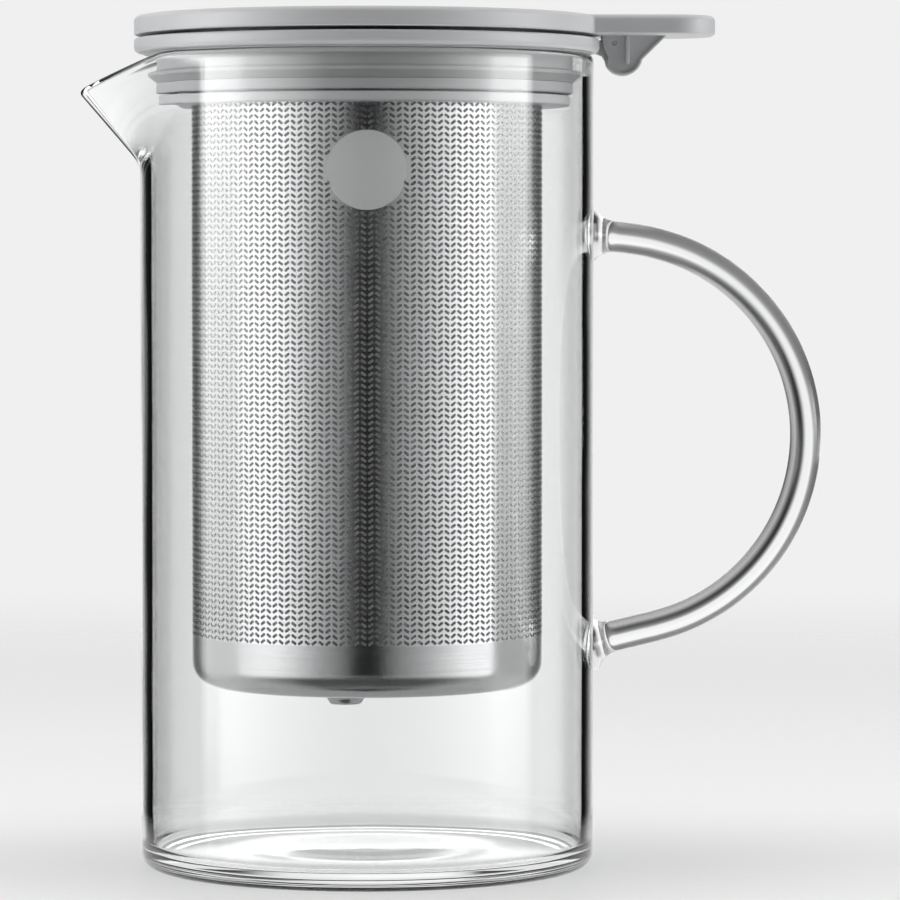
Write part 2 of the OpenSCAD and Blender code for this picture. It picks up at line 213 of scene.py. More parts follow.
class Solid:
    """A closed mesh in the making, with its points in millimetres."""

    def __init__(self) -> None:
        """Starts with no points and no faces."""
        self.points: list[Point3] = []
        self.faces: list[tuple[int, ...]] = []

    def ring(self, points: Sequence[Point3]) -> list[int]:
        """Adds points and returns their numbers."""
        start = len(self.points)
        self.points.extend(points)
        return list(range(start, len(self.points)))

    def bridge(self, low: Sequence[int], high: Sequence[int]) -> None:
        """Joins two closed rings; a ring of one point is a pole."""
        count = max(len(low), len(high))
        if count == 1:
            return
        for i in range(count):
            k = (i + 1) % count
            if len(low) == 1:
                self.faces.append((low[0], high[k], high[i]))
            elif len(high) == 1:
                self.faces.append((low[i], low[k], high[0]))
            else:
                self.faces.append((low[i], low[k], high[k], high[i]))

    def chain(self, rings: Sequence[Sequence[int]], closed: bool) -> None:
        """Joins each ring to the next, and the last to the first where closed."""
        for low, high in zip(rings, rings[1:]):
            self.bridge(low, high)
        if closed:
            self.bridge(rings[-1], rings[0])

    def cap(self, ring: Sequence[int]) -> None:
        """Closes a ring with one flat face."""
        self.faces.append(tuple(ring))

    def lathe(self, profile: Sequence[Point2], segments: int = 192,
              lift: Optional[Callable[[float, float], float]] = None) -> "Solid":
        """Turns a closed profile about the Z axis.

        Args:
            profile: Points as (radius, height) round the section; radius zero is on the axis.
            segments: Number of steps round the axis.
            lift: Height to add at a plan position (x, y), or None.

        Returns:
            This solid.
        """
        rings = []
        for radius, height in profile:
            if radius < 1e-6:
                extra = lift(0.0, 0.0) if lift else 0.0
                rings.append(self.ring([(0.0, 0.0, height + extra)]))
                continue
            circle = []
            for i in range(segments):
                x, y = radius * math.cos(TAU * i / segments), radius * math.sin(TAU * i / segments)
                circle.append((x, y, height + (lift(x, y) if lift else 0.0)))
            rings.append(self.ring(circle))
        self.chain(rings, closed=len(rings[0]) > 1)
        return self

    def plate(self, outline: Sequence[Point2], low: float, high: float, edge_low: float, edge_high: float,
              place: Callable[[float, float, float], Point3], steps: int = 4) -> "Solid":
        """A flat plate with rounded edges.

        Args:
            outline: Plan outline, with its inside on the left.
            low: Level of the lower face.
            high: Level of the upper face.
            edge_low: Edge radius at the lower face.
            edge_high: Edge radius at the upper face.
            place: Maps (u, v, level) to a point in space.
            steps: Number of steps in each edge's rounding.

        Returns:
            This solid.
        """
        levels: list[Point2] = []
        for k in range(steps + 1):
            angle = math.pi / 2 * k / steps
            levels.append((edge_low * (1 - math.sin(angle)), low + edge_low * (1 - math.cos(angle))))
        for k in range(steps + 1):
            angle = math.pi / 2 * k / steps
            levels.append((edge_high * (1 - math.cos(angle)), high - edge_high * (1 - math.sin(angle))))
        rings = []
        for distance, level in levels:
            rings.append(self.ring([place(u, v, level) for u, v in inset(outline, distance)]))
        self.chain(rings, closed=False)
        self.cap(list(reversed(rings[0])))
        self.cap(rings[-1])
        return self

    def sweep(self, path: Sequence[Point2], radii: Sequence[float], segments: int = 32) -> "Solid":
        """A round rod along a path in the XZ plane.

        Args:
            path: Centre line as (x, z).
            radii: Radius at each point of the path.
            segments: Number of steps round the rod.

        Returns:
            This solid.
        """
        rings = []
        last = len(path) - 1
        for i, (x, z) in enumerate(path):
            tangent = (Vector(path[min(i + 1, last)]) - Vector(path[max(i - 1, 0)])).normalized()
            side = Vector((-tangent.y, tangent.x))
            ring = []
            for k in range(segments):
                angle = TAU * k / segments
                across, out = radii[i] * math.cos(angle), radii[i] * math.sin(angle)
                ring.append((x + side.x * across, out, z + side.y * across))
            rings.append(self.ring(ring))
        self.chain(rings, closed=False)
        self.cap(rings[0])
        self.cap(list(reversed(rings[-1])))
        return self

    def make(self, name: str, material: bpy.types.Material, sharp: float = 40.0) -> bpy.types.Object:
        """Writes the solid as an object.

        Args:
            name: Name of the object.
            material: Its finish.
            sharp: Angle in degrees from which an edge is drawn sharp.

        Returns:
            The object, with its faces turned outwards.
        """
        mesh = bpy.data.meshes.new(name)
        mesh.from_pydata([(x * MM, y * MM, z * MM) for x, y, z in self.points], [], self.faces)
        shape = bmesh.new()
        shape.from_mesh(mesh)
        bmesh.ops.remove_doubles(shape, verts=shape.verts, dist=1e-8)
        bmesh.ops.recalc_face_normals(shape, faces=shape.faces)
        shape.to_mesh(mesh)
        shape.free()
        mesh.materials.append(material)
        shade(mesh, sharp)
        piece = bpy.data.objects.new(name, mesh)
        bpy.context.scene.collection.objects.link(piece)
        return piece


def shade(mesh: bpy.types.Mesh, sharp: float) -> None:
    """Smooth shading that keeps the edges over an angle in degrees sharp."""
    mesh.polygons.foreach_set("use_smooth", [True] * len(mesh.polygons))
    mesh.set_sharp_from_angle(angle=math.radians(sharp))
    mesh.update()


def to_mesh(piece: bpy.types.Object) -> None:
    """Puts an object's evaluated form in place of its mesh and modifiers."""
    graph = bpy.context.evaluated_depsgraph_get()
    graph.update()
    made = bpy.data.meshes.new_from_object(piece.evaluated_get(graph))
    old = piece.data
    name = old.name
    piece.modifiers.clear()
    piece.data = made
    bpy.data.meshes.remove(old)
    made.name = name


def combine(piece: bpy.types.Object, other: bpy.types.Object, how: Fuse, sharp: float = 40.0) -> None:
    """Fuses another solid into a piece, or cuts it out of the piece.

    Args:
        piece: The solid that stays.
        other: The solid that is used up.
        how: Union or cut.
        sharp: Angle in degrees from which an edge is drawn sharp.
    """
    step = piece.modifiers.new(how.value.lower(), "BOOLEAN")
    step.operation = how.value
    step.solver = "EXACT"
    step.object = other
    to_mesh(piece)
    if not piece.data.polygons:
        raise RuntimeError(f"{piece.name} is empty after a {how.value.lower()}")
    used = other.data
    bpy.data.objects.remove(other)
    bpy.data.meshes.remove(used)
    shade(piece.data, sharp)


def dress(piece: bpy.types.Object, body: Body, slot: Slot, *nodes: str) -> bpy.types.Object:
    """Gives a finished piece its body and hides the CAD nodes that it stands for.

    Args:
        piece: A finished piece at the origin.
        body: The body that it rides on.
        slot: The record's material slot; not used.
        nodes: Names of the CAD nodes that it replaces.

    Returns:
        The piece.
    """
    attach(piece, body.value)
    if nodes:
        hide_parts(*nodes)
    LOG.info("%s: %d faces on %s", piece.name, len(piece.data.polygons), body.value)
    return piece


def flat(u: float, v: float, level: float) -> Point3:
    """A plan point at a height."""
    return (u, v, level)


def upright(u: float, v: float, level: float) -> Point3:
    """A point of an upright XZ outline, its level measured towards -Y."""
    return (u, -level, v)


# Materials


class Graph:
    """A node tree that is filled by short calls."""

    def __init__(self, tree: bpy.types.NodeTree) -> None:
        """Keeps the tree, emptied."""
        self.tree = tree
        tree.nodes.clear()

    def node(self, kind: str, inputs: Optional[dict] = None, **settings) -> bpy.types.Node:
        """Adds a node.

        Args:
            kind: The node's type name.
            inputs: Values or output sockets, by input name or number.
            settings: Properties of the node.

        Returns:
            The node.
        """
        node = self.tree.nodes.new(kind)
        for key, value in settings.items():
            setattr(node, key, value)
        for key, value in (inputs or {}).items():
            socket = node.inputs[key]
            if isinstance(value, bpy.types.NodeSocket):
                self.tree.links.new(value, socket)
            else:
                socket.default_value = value
        return node

    def math(self, operation: str, first, second=0.0) -> bpy.types.NodeSocket:
        """The result of a Math node on two values or sockets."""
        return self.node("ShaderNodeMath", {0: first, 1: second}, operation=operation).outputs[0]

    def ramp(self, factor: bpy.types.NodeSocket,
             stops: Sequence[tuple[float, Colour]]) -> bpy.types.NodeSocket:
        """A colour ramp.

        Args:
            factor: Where on the ramp to read.
            stops: Places and colours, in order.

        Returns:
            The ramp's colour.
        """
        node = self.node("ShaderNodeValToRGB", {"Fac": factor})
        elements = node.color_ramp.elements
        while len(elements) < len(stops):
            elements.new(1.0)
        for element, (place, colour) in zip(elements, stops):
            element.position = place
            element.color = (*colour, 1.0)
        return node.outputs["Color"]

    def blend(self, factor, first, second) -> bpy.types.NodeSocket:
        """A mix of two colours."""
        node = self.node("ShaderNodeMix", data_type="RGBA")
        for number, value in ((0, factor), (6, first), (7, second)):
            if isinstance(value, bpy.types.NodeSocket):
                self.tree.links.new(value, node.inputs[number])
            elif number == 0:
                node.inputs[number].default_value = value
            else:
                node.inputs[number].default_value = (*value, 1.0)
        return node.outputs[2]

    def remap(self, value: bpy.types.NodeSocket, low: float, high: float,
              start: float = 0.0, end: float = 1.0) -> bpy.types.NodeSocket:
        """A value between start and end stretched to low and high."""
        node = self.node("ShaderNodeMapRange", {"Value": value, "From Min": start, "From Max": end,
                                                "To Min": low, "To Max": high})
        return node.outputs["Result"]


class SharedEffects:
    """Shader groups that more than one finish uses."""

    def __init__(self) -> None:
        """Builds both groups."""
        self.grain = self._grain()
        self.marks = self._marks()

    @staticmethod
    def _group(name: str, inputs: Sequence[tuple[str, float]],
               outputs: Sequence[tuple[str, str]]) -> tuple[bpy.types.NodeTree, Graph, bpy.types.Node]:
        """An empty group with its sockets, its graph and its input node."""
        tree = bpy.data.node_groups.new(name, "ShaderNodeTree")
        for label, value in inputs:
            socket = tree.interface.new_socket(label, in_out="INPUT", socket_type="NodeSocketFloat")
            socket.default_value = value
        for label, kind in outputs:
            tree.interface.new_socket(label, in_out="OUTPUT", socket_type=kind)
        graph = Graph(tree)
        return tree, graph, graph.node("NodeGroupInput")

    def _grain(self) -> bpy.types.NodeTree:
        """Fine surface grain: a height, and the normal that it gives."""
        tree, graph, given = self._group(
            "surface_grain",
            [("Coarse Scale", 900.0), ("Fine Scale", 3800.0), ("Depth", 0.1)],
            [("Height", "NodeSocketFloat"), ("Normal", "NodeSocketVector")],
        )
        place = graph.node("ShaderNodeTexCoord").outputs["Object"]
        coarse = graph.node("ShaderNodeTexNoise", {
            "Vector": place, "Scale": given.outputs["Coarse Scale"], "Detail": 3.0, "Roughness": 0.55})
        fine = graph.node("ShaderNodeTexNoise", {
            "Vector": place, "Scale": given.outputs["Fine Scale"], "Detail": 2.0, "Roughness": 0.6})
        height = graph.math("MULTIPLY_ADD", coarse.outputs["Fac"], 0.6)
        graph.tree.links.new(graph.math("MULTIPLY", fine.outputs["Fac"], 0.4), height.node.inputs[2])
        bump = graph.node("ShaderNodeBump", {
            "Height": height, "Strength": given.outputs["Depth"], "Distance": 0.0002})
        graph.node("NodeGroupOutput", {"Height": height, "Normal": bump.outputs["Normal"]})
        return tree

    def _marks(self) -> bpy.types.NodeTree:
        """Faint marks of handling and washing: a mask from 0 to 1."""
        tree, graph, given = self._group(
            "handling_marks",
            [("Scale", 28.0), ("Cover", 0.5)],
            [("Mask", "NodeSocketFloat")],
        )
        place = graph.node("ShaderNodeTexCoord").outputs["Object"]
        cloud = graph.node("ShaderNodeTexNoise", {
            "Vector": place, "Scale": given.outputs["Scale"], "Detail": 4.0, "Roughness": 0.6,
            "Distortion": 0.6})
        low = graph.math("SUBTRACT", 0.62, graph.math("MULTIPLY", given.outputs["Cover"], 0.3))
        node = graph.node("ShaderNodeMapRange", {
            "Value": cloud.outputs["Fac"], "From Min": low, "From Max": 0.78},
            interpolation_type="SMOOTHSTEP")
        graph.node("NodeGroupOutput", {"Mask": node.outputs["Result"]})
        return tree

    def use(self, graph: Graph, tree: bpy.types.NodeTree, **values: float) -> bpy.types.Node:
        """A group node in a material's graph.

        Args:
            graph: The material's graph.
            tree: One of the shared groups.
            values: Its inputs, with underscores for the spaces in their names.

        Returns:
            The group node.
        """
        node = graph.node("ShaderNodeGroup", node_tree=tree)
        for key, value in values.items():
            node.inputs[key.replace("_", " ").title()].default_value = value
        return node


def new_material(name: str) -> tuple[bpy.types.Material, Graph]:
    """A material and its emptied graph."""
    material = bpy.data.materials.new(name)
    material.use_nodes = True
    return material, Graph(material.node_tree)


@dataclass(frozen=True)
class GlassFinish:
    """Clear borosilicate glass with faint waves and marks of washing."""

    name: str = "clear_glass"
    tint: Colour = (0.988, 0.994, 0.992)
    shade: Colour = (0.97, 0.975, 0.975)
    ior: float = 1.47

    def material(self, effects: SharedEffects) -> bpy.types.Material:
        """The finish as a material."""
        material, graph = new_material(self.name)
        place = graph.node("ShaderNodeTexCoord").outputs["Object"]
        marks = effects.use(graph, effects.marks, scale=22.0, cover=0.35)
        rough = graph.remap(marks.outputs["Mask"], 0.0, 0.015)
        wave = graph.node("ShaderNodeTexNoise", {"Vector": place, "Scale": 26.0, "Detail": 1.0})
        bump = graph.node("ShaderNodeBump", {
            "Height": wave.outputs["Fac"], "Strength": 0.02, "Distance": 0.004})
        glass = graph.node("ShaderNodeBsdfPrincipled", {
            "Base Color": (*self.tint, 1.0), "Roughness": rough, "IOR": self.ior,
            "Transmission Weight": 1.0, "Metallic": 0.0, "Normal": bump.outputs["Normal"]})
        clear = graph.node("ShaderNodeBsdfTransparent", {"Color": (*self.shade, 1.0)})
        path = graph.node("ShaderNodeLightPath")
        mix = graph.node("ShaderNodeMixShader", {
            0: path.outputs["Is Shadow Ray"], 1: glass.outputs["BSDF"], 2: clear.outputs["BSDF"]})
        graph.node("ShaderNodeOutputMaterial", {"Surface": mix.outputs["Shader"]})
        return material


@dataclass(frozen=True)
class PlasticFinish:
    """Moulded grey plastic with a fine satin grain."""

    name: str
    colour: Colour
    worn: Colour
    roughness: float = 0.42
    gloss: float = 0.9
    grain: float = 0.16

    def material(self, effects: SharedEffects) -> bpy.types.Material:
        """The finish as a material."""
        material, graph = new_material(self.name)
        grain = effects.use(graph, effects.grain, coarse_scale=1100.0, fine_scale=4200.0, depth=self.grain)
        marks = effects.use(graph, effects.marks, scale=34.0, cover=0.5)
        place = graph.node("ShaderNodeTexCoord").outputs["Object"]
        cloud = graph.node("ShaderNodeTexNoise", {"Vector": place, "Scale": 18.0, "Detail": 3.0})
        tone = graph.ramp(cloud.outputs["Fac"], [
            (0.3, tuple(0.965 * c for c in self.colour)), (0.7, tuple(1.03 * c for c in self.colour))])
        colour = graph.blend(graph.math("MULTIPLY", marks.outputs["Mask"], 0.25), tone, self.worn)
        rough = graph.math("ADD", graph.remap(grain.outputs["Height"], -0.05, 0.05),
                           graph.remap(marks.outputs["Mask"], self.roughness, self.roughness + 0.07))
        shell = graph.node("ShaderNodeBsdfPrincipled", {
            "Base Color": colour, "Roughness": rough, "IOR": 1.5, "Specular IOR Level": self.gloss,
            "Metallic": 0.0, "Normal": grain.outputs["Normal"]})
        graph.node("ShaderNodeOutputMaterial", {"Surface": shell.outputs["BSDF"]})
        return material


@dataclass(frozen=True)
class SiliconeFinish:
    """Soft grey silicone with a matt, slightly cloudy skin."""

    name: str = "grey_silicone"
    colour: Colour = (0.45, 0.455, 0.46)
    dust: Colour = (0.53, 0.535, 0.54)

    def material(self, effects: SharedEffects) -> bpy.types.Material:
        """The finish as a material."""
        material, graph = new_material(self.name)
        grain = effects.use(graph, effects.grain, coarse_scale=600.0, fine_scale=2600.0, depth=0.1)
        marks = effects.use(graph, effects.marks, scale=60.0, cover=0.8)
        colour = graph.blend(graph.math("MULTIPLY", marks.outputs["Mask"], 0.5), self.colour, self.dust)
        rough = graph.remap(grain.outputs["Height"], 0.4, 0.54, 0.3, 0.7)
        skin = graph.node("ShaderNodeBsdfPrincipled", {
            "Base Color": colour, "Roughness": rough, "IOR": 1.41, "Specular IOR Level": 1.0,
            "Subsurface Weight": 0.15, "Subsurface Radius": (0.004, 0.004, 0.004),
            "Subsurface Scale": 0.3, "Metallic": 0.0, "Normal": grain.outputs["Normal"]})
        graph.node("ShaderNodeOutputMaterial", {"Surface": skin.outputs["BSDF"]})
        return material


@dataclass(frozen=True)
class SteelFinish:
    """Satin stainless steel, brushed round the basket, with painted light inside and a matt field in front.
    """

    name: str = "satin_steel"
    colour: Colour = (0.74, 0.745, 0.75)
    dull: Colour = (0.62, 0.63, 0.635)
    # painted light: the lighter colour that the faces inside the basket get
    bright: Colour = (0.93, 0.933, 0.937)
    matt: Colour = (0.95, 0.953, 0.957)
    roughness: float = 0.17
    field_z: float = 160.9
    field_r: float = 9.0

    def _inside(self, graph: Graph, place: bpy.types.NodeSocket) -> bpy.types.NodeSocket:
        """1 on the faces that look towards the Z axis, 0 elsewhere."""
        normal = graph.node("ShaderNodeNewGeometry").outputs["True Normal"]
        plan = graph.node("ShaderNodeVectorMath", {0: place, 1: (1.0, 1.0, 0.0)}, operation="MULTIPLY")
        away = graph.node("ShaderNodeVectorMath", {0: plan.outputs["Vector"], 1: normal},
                          operation="DOT_PRODUCT")
        return graph.math("LESS_THAN", away.outputs["Value"], -0.01)

    def _field(self, graph: Graph, place: bpy.types.NodeSocket) -> bpy.types.NodeSocket:
        """1 in the round field on the front of the basket, 0 elsewhere."""
        axis = graph.node("ShaderNodeSeparateXYZ", {"Vector": place}).outputs
        rise = graph.math("SUBTRACT", axis["Z"], self.field_z * MM)
        away = graph.math("SQRT", graph.math(
            "ADD", graph.math("MULTIPLY", axis["X"], axis["X"]), graph.math("MULTIPLY", rise, rise)))
        inside = graph.remap(away, 1.0, 0.0, (self.field_r - 0.15) * MM, self.field_r * MM)
        return graph.math("MULTIPLY", inside, graph.math("LESS_THAN", axis["Y"], 0.0))

    def material(self, effects: SharedEffects) -> bpy.types.Material:
        """The finish as a material."""
        material, graph = new_material(self.name)
        grain = effects.use(graph, effects.grain, coarse_scale=500.0, fine_scale=3000.0, depth=0.05)
        marks = effects.use(graph, effects.marks, scale=24.0, cover=0.6)
        place = graph.node("ShaderNodeTexCoord").outputs["Object"]
        drawn = graph.node("ShaderNodeMapping", {"Vector": place, "Scale": (40.0, 40.0, 5200.0)})
        brush = graph.node("ShaderNodeTexNoise", {
            "Vector": drawn.outputs["Vector"], "Scale": 1.0, "Detail": 4.0})
        skin = graph.blend(graph.remap(brush.outputs["Fac"], 0.0, 0.6, 0.35, 0.7), self.colour, self.dull)
        field = self._field(graph, place)
        skin = graph.blend(field, skin, self.matt)
        rough = graph.math("ADD", graph.remap(brush.outputs["Fac"], -0.05, 0.05),
                           graph.remap(marks.outputs["Mask"], self.roughness, self.roughness + 0.08))
        # Faces that look towards the axis get a lighter colour and more roughness: painted light inside the
        # basket.
        inside = self._inside(graph, place)
        colour = graph.blend(inside, skin, self.bright)
        rough = graph.math("ADD", rough, graph.math("MULTIPLY", field, 0.5))
        rough = graph.math("ADD", rough, graph.math("MULTIPLY", inside, 0.6))
        bump = graph.node("ShaderNodeBump", {
            "Height": brush.outputs["Fac"], "Strength": 0.05, "Distance": 0.0001,
            "Normal": grain.outputs["Normal"]})
        metal = graph.node("ShaderNodeBsdfPrincipled", {
            "Base Color": colour, "Roughness": rough, "Metallic": 1.0, "Normal": bump.outputs["Normal"]})
        graph.node("ShaderNodeOutputMaterial", {"Surface": metal.outputs["BSDF"]})
        return material


@dataclass(frozen=True)
class FloorFinish:
    """A pale studio floor that fades into the backdrop away from the object.

    The fade runs from near to far, and for bent and mirrored rays from glass_near to glass_far. Steel
    behind glass doesn't see the floor, and the rod handle doesn't see it beyond clear_from.
    """

    name: str = "studio_floor"
    colour: Colour = (0.80, 0.80, 0.80)
    near: float = 0.25
    far: float = 0.95
    glass_near: float = 0.07
    glass_far: float = 0.14
    clear_from: float = 0.06

    def material(self) -> bpy.types.Material:
        """The finish as a material."""
        material, graph = new_material(self.name)
        place = graph.node("ShaderNodeTexCoord").outputs["Object"]
        away = graph.node("ShaderNodeVectorMath", {0: place}, operation="LENGTH").outputs["Value"]
        fade = graph.node("ShaderNodeMapRange", {"Value": away, "From Min": self.near, "From Max": self.far},
                          interpolation_type="SMOOTHSTEP").outputs["Result"]
        path = graph.node("ShaderNodeLightPath").outputs
        glossy = graph.math("GREATER_THAN", path["Glossy Depth"], MIRRORED)
        turned = graph.math("MAXIMUM", glossy, path["Is Transmission Ray"])
        behind = graph.remap(away, 0.0, 1.0, self.glass_near, self.glass_far)
        passed = path["Transmission Depth"]
        steel = graph.math("MULTIPLY", glossy, graph.math("GREATER_THAN", passed, PAST_ONE_WALL))
        once = graph.math("MULTIPLY", graph.math("LESS_THAN", passed, PAST_ONE_WALL),
                          path["Is Transmission Ray"])
        rod = graph.math("MULTIPLY", once, graph.math("GREATER_THAN", away, self.clear_from))
        behind = graph.math("MAXIMUM", behind, graph.math("MAXIMUM", steel, rod))
        fade = graph.math("MAXIMUM", fade, graph.math("MULTIPLY", turned, behind))
        speck = graph.node("ShaderNodeTexNoise", {"Vector": place, "Scale": 300.0, "Detail": 2.0})
        tone = graph.ramp(speck.outputs["Fac"], [
            (0.3, tuple(0.985 * c for c in self.colour)), (0.7, self.colour)])
        ground = graph.node("ShaderNodeBsdfPrincipled", {"Base Color": tone, "Roughness": 0.6})
        clear = graph.node("ShaderNodeBsdfTransparent")
        mix = graph.node("ShaderNodeMixShader", {
            0: fade, 1: ground.outputs["BSDF"], 2: clear.outputs["BSDF"]})
        graph.node("ShaderNodeOutputMaterial", {"Surface": mix.outputs["Shader"]})
        return material


@dataclass(frozen=True)
class Finishes:
    """The materials that the pieces share."""

    glass: bpy.types.Material
    plastic: bpy.types.Material
    ring: bpy.types.Material
    silicone: bpy.types.Material
    # the near-black seal finish: painted shade in the gap under the lid
    gap_shade_gasket: bpy.types.Material
    steel: bpy.types.Material
    # painted shade: the darker steel of the bottom and of the band under the slots
    pressed: bpy.types.Material
    slot_shade: bpy.types.Material

    @staticmethod
    def make() -> "Finishes":
        """All finishes, built once."""
        effects = SharedEffects()
        recipes = {
            "glass": GlassFinish(),
            "plastic": PlasticFinish("grey_plastic", (0.46, 0.465, 0.473), (0.52, 0.525, 0.53)),
            "ring": PlasticFinish("grey_ring", (0.575, 0.58, 0.59), (0.63, 0.635, 0.64), 0.38),
            "silicone": SiliconeFinish(),
            # a near-black silicone for the lid's seal, which paints the shade in the gap between lid and
            # collar
            "gap_shade_gasket": SiliconeFinish("gap_shade_silicone", (0.03, 0.031, 0.032), (0.06, 0.061, 0.062)),
            "steel": SteelFinish(),
            # a darker copy of the satin steel: painted shade on the bottom and on the plain band under the
            # slots
            "pressed": SteelFinish("shaded_lower_steel", (0.63, 0.634, 0.64), (0.53, 0.537, 0.541)),
            "slot_shade": SteelFinish("shaded_steel", (0.03, 0.03, 0.031), (0.02, 0.02, 0.021)),
        }
        return Finishes(**{use: finish.material(effects) for use, finish in recipes.items()})


# Sub-assemblies


@dataclass
class GlassJug:
    """The jug's body with its pulled spout, and the rod handle with its flares against the wall."""

    radius: float = 52.5
    wall: float = 2.6
    height: float = 188.0
    floor: float = 4.0
    corner: float = 3.6
    floor_corner: float = 2.8
    punt: float = 0.7
    dome: float = 0.45
    ripple: float = 0.02
    ripple_turns: float = 26.0
    straight: float = 155.0
    spout_root: float = 162.8
    spout_slope: float = 0.856
    spout_soft: float = 0.8
    spout_tip_r: float = 6.0
    spout_wall: float = 2.2
    spout_lag: float = 0.35
    lip_slope: float = 0.39
    lip_start: float = 47.5
    lip_soft: float = 1.5
    lean_reach: float = 13.5
    lean_drop: float = 0.4
    lean_rise: float = 1.4
    lean_slant: float = 0.62
    rod: float = 3.62
    rod_sides: int = 72
    flare: float = 3.0
    flare_len: float = 5.6
    flare_sunk: float = 0.2
    flare_power: float = 2.6
    weld: float = 0.05
    cut_margin: float = 15.0
    handle_centre: Point2 = (56.1, 100.1)
    handle_radius: float = 45.8
    handle_lean: float = 76.0
    upper_leg: tuple[Point2, ...] = ((50.8, 146.31), (55.0, 146.23), (59.0, 145.95), (63.3, 145.35))
    lower_leg: tuple[Point2, ...] = ((63.3, 54.72), (58.8, 53.63), (54.2, 52.52), (50.8, 51.7))
    segments: int = 240
    crowd: float = 0.72
    sharp: float = 60.0

    def _reach(self, z: float) -> float:
        """How far the spout stands out of the wall at a height."""
        return self.spout_slope * softplus(z - self.spout_root, self.spout_soft)

    @staticmethod
    def _outline(psi: float, circle: float, reach: float, tip_r: float) -> float:
        """Distance from the axis of the plan outline of a circle drawn out to a round tip.

        Args:
            psi: Angle from the spout's direction.
            circle: Radius of the round wall.
            reach: How far the tip stands out of it.
            tip_r: Radius of the tip.

        Returns:
            The outline's distance from the axis.
        """
        centre = circle + reach - tip_r
        if reach < 1e-4:
            return circle
        psi = abs(math.remainder(psi, TAU))
        tangent = math.acos((circle - tip_r) / centre)
        tip = math.atan2(tip_r * math.sin(tangent), centre + tip_r * math.cos(tangent))
        if psi >= tangent:
            return circle
        if psi > tip:
            return circle / math.cos(tangent - psi)
        return centre * math.cos(psi) + math.sqrt(tip_r ** 2 - (centre * math.sin(psi)) ** 2)

    def _angles(self) -> list[float]:
        """Angles round the jug from the spout's direction, closer together at the spout."""
        angles = []
        for i in range(self.segments):
            t = TAU * i / self.segments
            angles.append(t - self.crowd * math.sin(t))
        return angles

    def _outer(self, psi: float, z: float) -> float:
        """Radius of the outer wall."""
        return self._outline(psi, self.radius, self._reach(z), self.spout_tip_r)

    def _inner(self, psi: float, z: float) -> float:
        """Radius of the inner wall."""
        reach = self._reach(z - self.spout_lag)
        return self._outline(psi, self.radius - self.wall, reach, self.spout_tip_r - self.spout_wall)

    def _rim(self, psi: float) -> tuple[float, float, float]:
        """Where the wall ends: its outer height, its inner height and how far the rim leans out."""
        line = self.height
        for _ in range(12):
            x = self._outer(psi, line) * math.cos(psi)
            line = self.height - self.lip_slope * softplus(x - self.lip_start, self.lip_soft)
        lean = smoothstep(0.0, 1.0, (self._outer(psi, line - self.wall / 2) - self.radius) / self.lean_reach)
        outer = line - self.wall / 2 - self.lean_drop * lean
        return outer, outer + self.lean_rise * lean, lean

    def _body(self) -> Solid:
        """The jug's body without its handle."""
        solid = Solid()
        angles = self._angles()

        def at(psi: float, r: float, z: float) -> Point3:
            """A point at an angle from the spout, which looks to -X."""
            return (-r * math.cos(psi), -r * math.sin(psi), z)

        def level(r: float, z: float) -> list[int]:
            """A round ring at a height."""
            return solid.ring([at(psi, r, z) for psi in angles])

        rims = [self._rim(psi) for psi in angles]
        straight = self.straight
        rings = [solid.ring([(0.0, 0.0, self.punt)])]
        foot = self.radius - self.corner
        for out_share, rise_share in ((0.3, 1.0), (0.6, 1.0), (0.85, 0.5), (0.93, 0.12), (1.0, 0.0)):
            rings.append(level(out_share * foot, rise_share * self.punt))
        rings += [level(r, z) for r, z in arc((foot, self.corner), self.corner, -80, 0, 10)]
        rows = 19
        for i in range(1, rows + 1):
            rings.append(level(self.radius, self.corner + (straight - self.corner) * i / rows))
        steps = 34
        for i in range(1, steps + 1):
            ring = []
            for psi, (outer, _, _) in zip(angles, rims):
                z = straight + (outer - straight) * i / steps
                ring.append(at(psi, self._outer(psi, z), z))
            rings.append(solid.ring(ring))
        turns = 10
        for k in range(1, turns):
            angle = math.pi * k / turns
            ring = []
            for psi, (outer, inner, lean) in zip(angles, rims):
                r_out, r_in = self._outer(psi, outer), self._inner(psi, inner)
                half_r, half_z = (r_out - r_in) / 2, (outer - inner) / 2
                size = math.hypot(half_r, half_z)
                slant = self.lean_slant * lean
                rise = math.sqrt(1 - slant ** 2)
                r = (r_out + r_in) / 2 + half_r * math.cos(angle) + size * slant * math.sin(angle)
                z = (outer + inner) / 2 + half_z * math.cos(angle) + size * rise * math.sin(angle)
                ring.append(at(psi, r, z))
            rings.append(solid.ring(ring))
        for i in range(steps, -1, -1):
            ring = []
            for psi, (_, inner, _) in zip(angles, rims):
                z = straight + (inner - straight) * i / steps
                ring.append(at(psi, self._inner(psi, z), z))
            rings.append(solid.ring(ring))
        bore = self.radius - self.wall
        low = self.floor + self.floor_corner
        for i in range(rows - 1, 0, -1):
            rings.append(level(bore, low + (straight - low) * i / rows))
        pan = bore - self.floor_corner
        rings += [level(r, z) for r, z in arc((pan, low), self.floor_corner, 0, -86, 9)]
        count = 30
        for i in range(count - 1, 0, -1):
            share = i / count
            fade = smoothstep(0.1, 0.3, share) * (1 - smoothstep(0.85, 0.98, share))
            ripple = self.ripple * math.sin(share * self.ripple_turns) * fade
            rings.append(level(share * pan, self.floor + self.dome * (1 - share * share) ** 2 + ripple))
        rings.append(solid.ring([(0.0, 0.0, self.floor + self.dome)]))
        solid.chain(rings, closed=False)
        return solid

    def _handle(self) -> Solid:
        """The rod handle with a flare at each end."""
        bow = arc(self.handle_centre, self.handle_radius, self.handle_lean, -self.handle_lean, 22)
        path = smooth_path([*self.upper_leg, *bow, *self.lower_leg], 5)
        radii = []
        for x, _ in path:
            away = max(0.0, x - self.radius + self.flare_sunk)
            grow = self.flare * max(0.0, 1.0 - away / self.flare_len) ** self.flare_power
            radii.append(self.rod + grow)
        return Solid().sweep(path, radii, self.rod_sides)

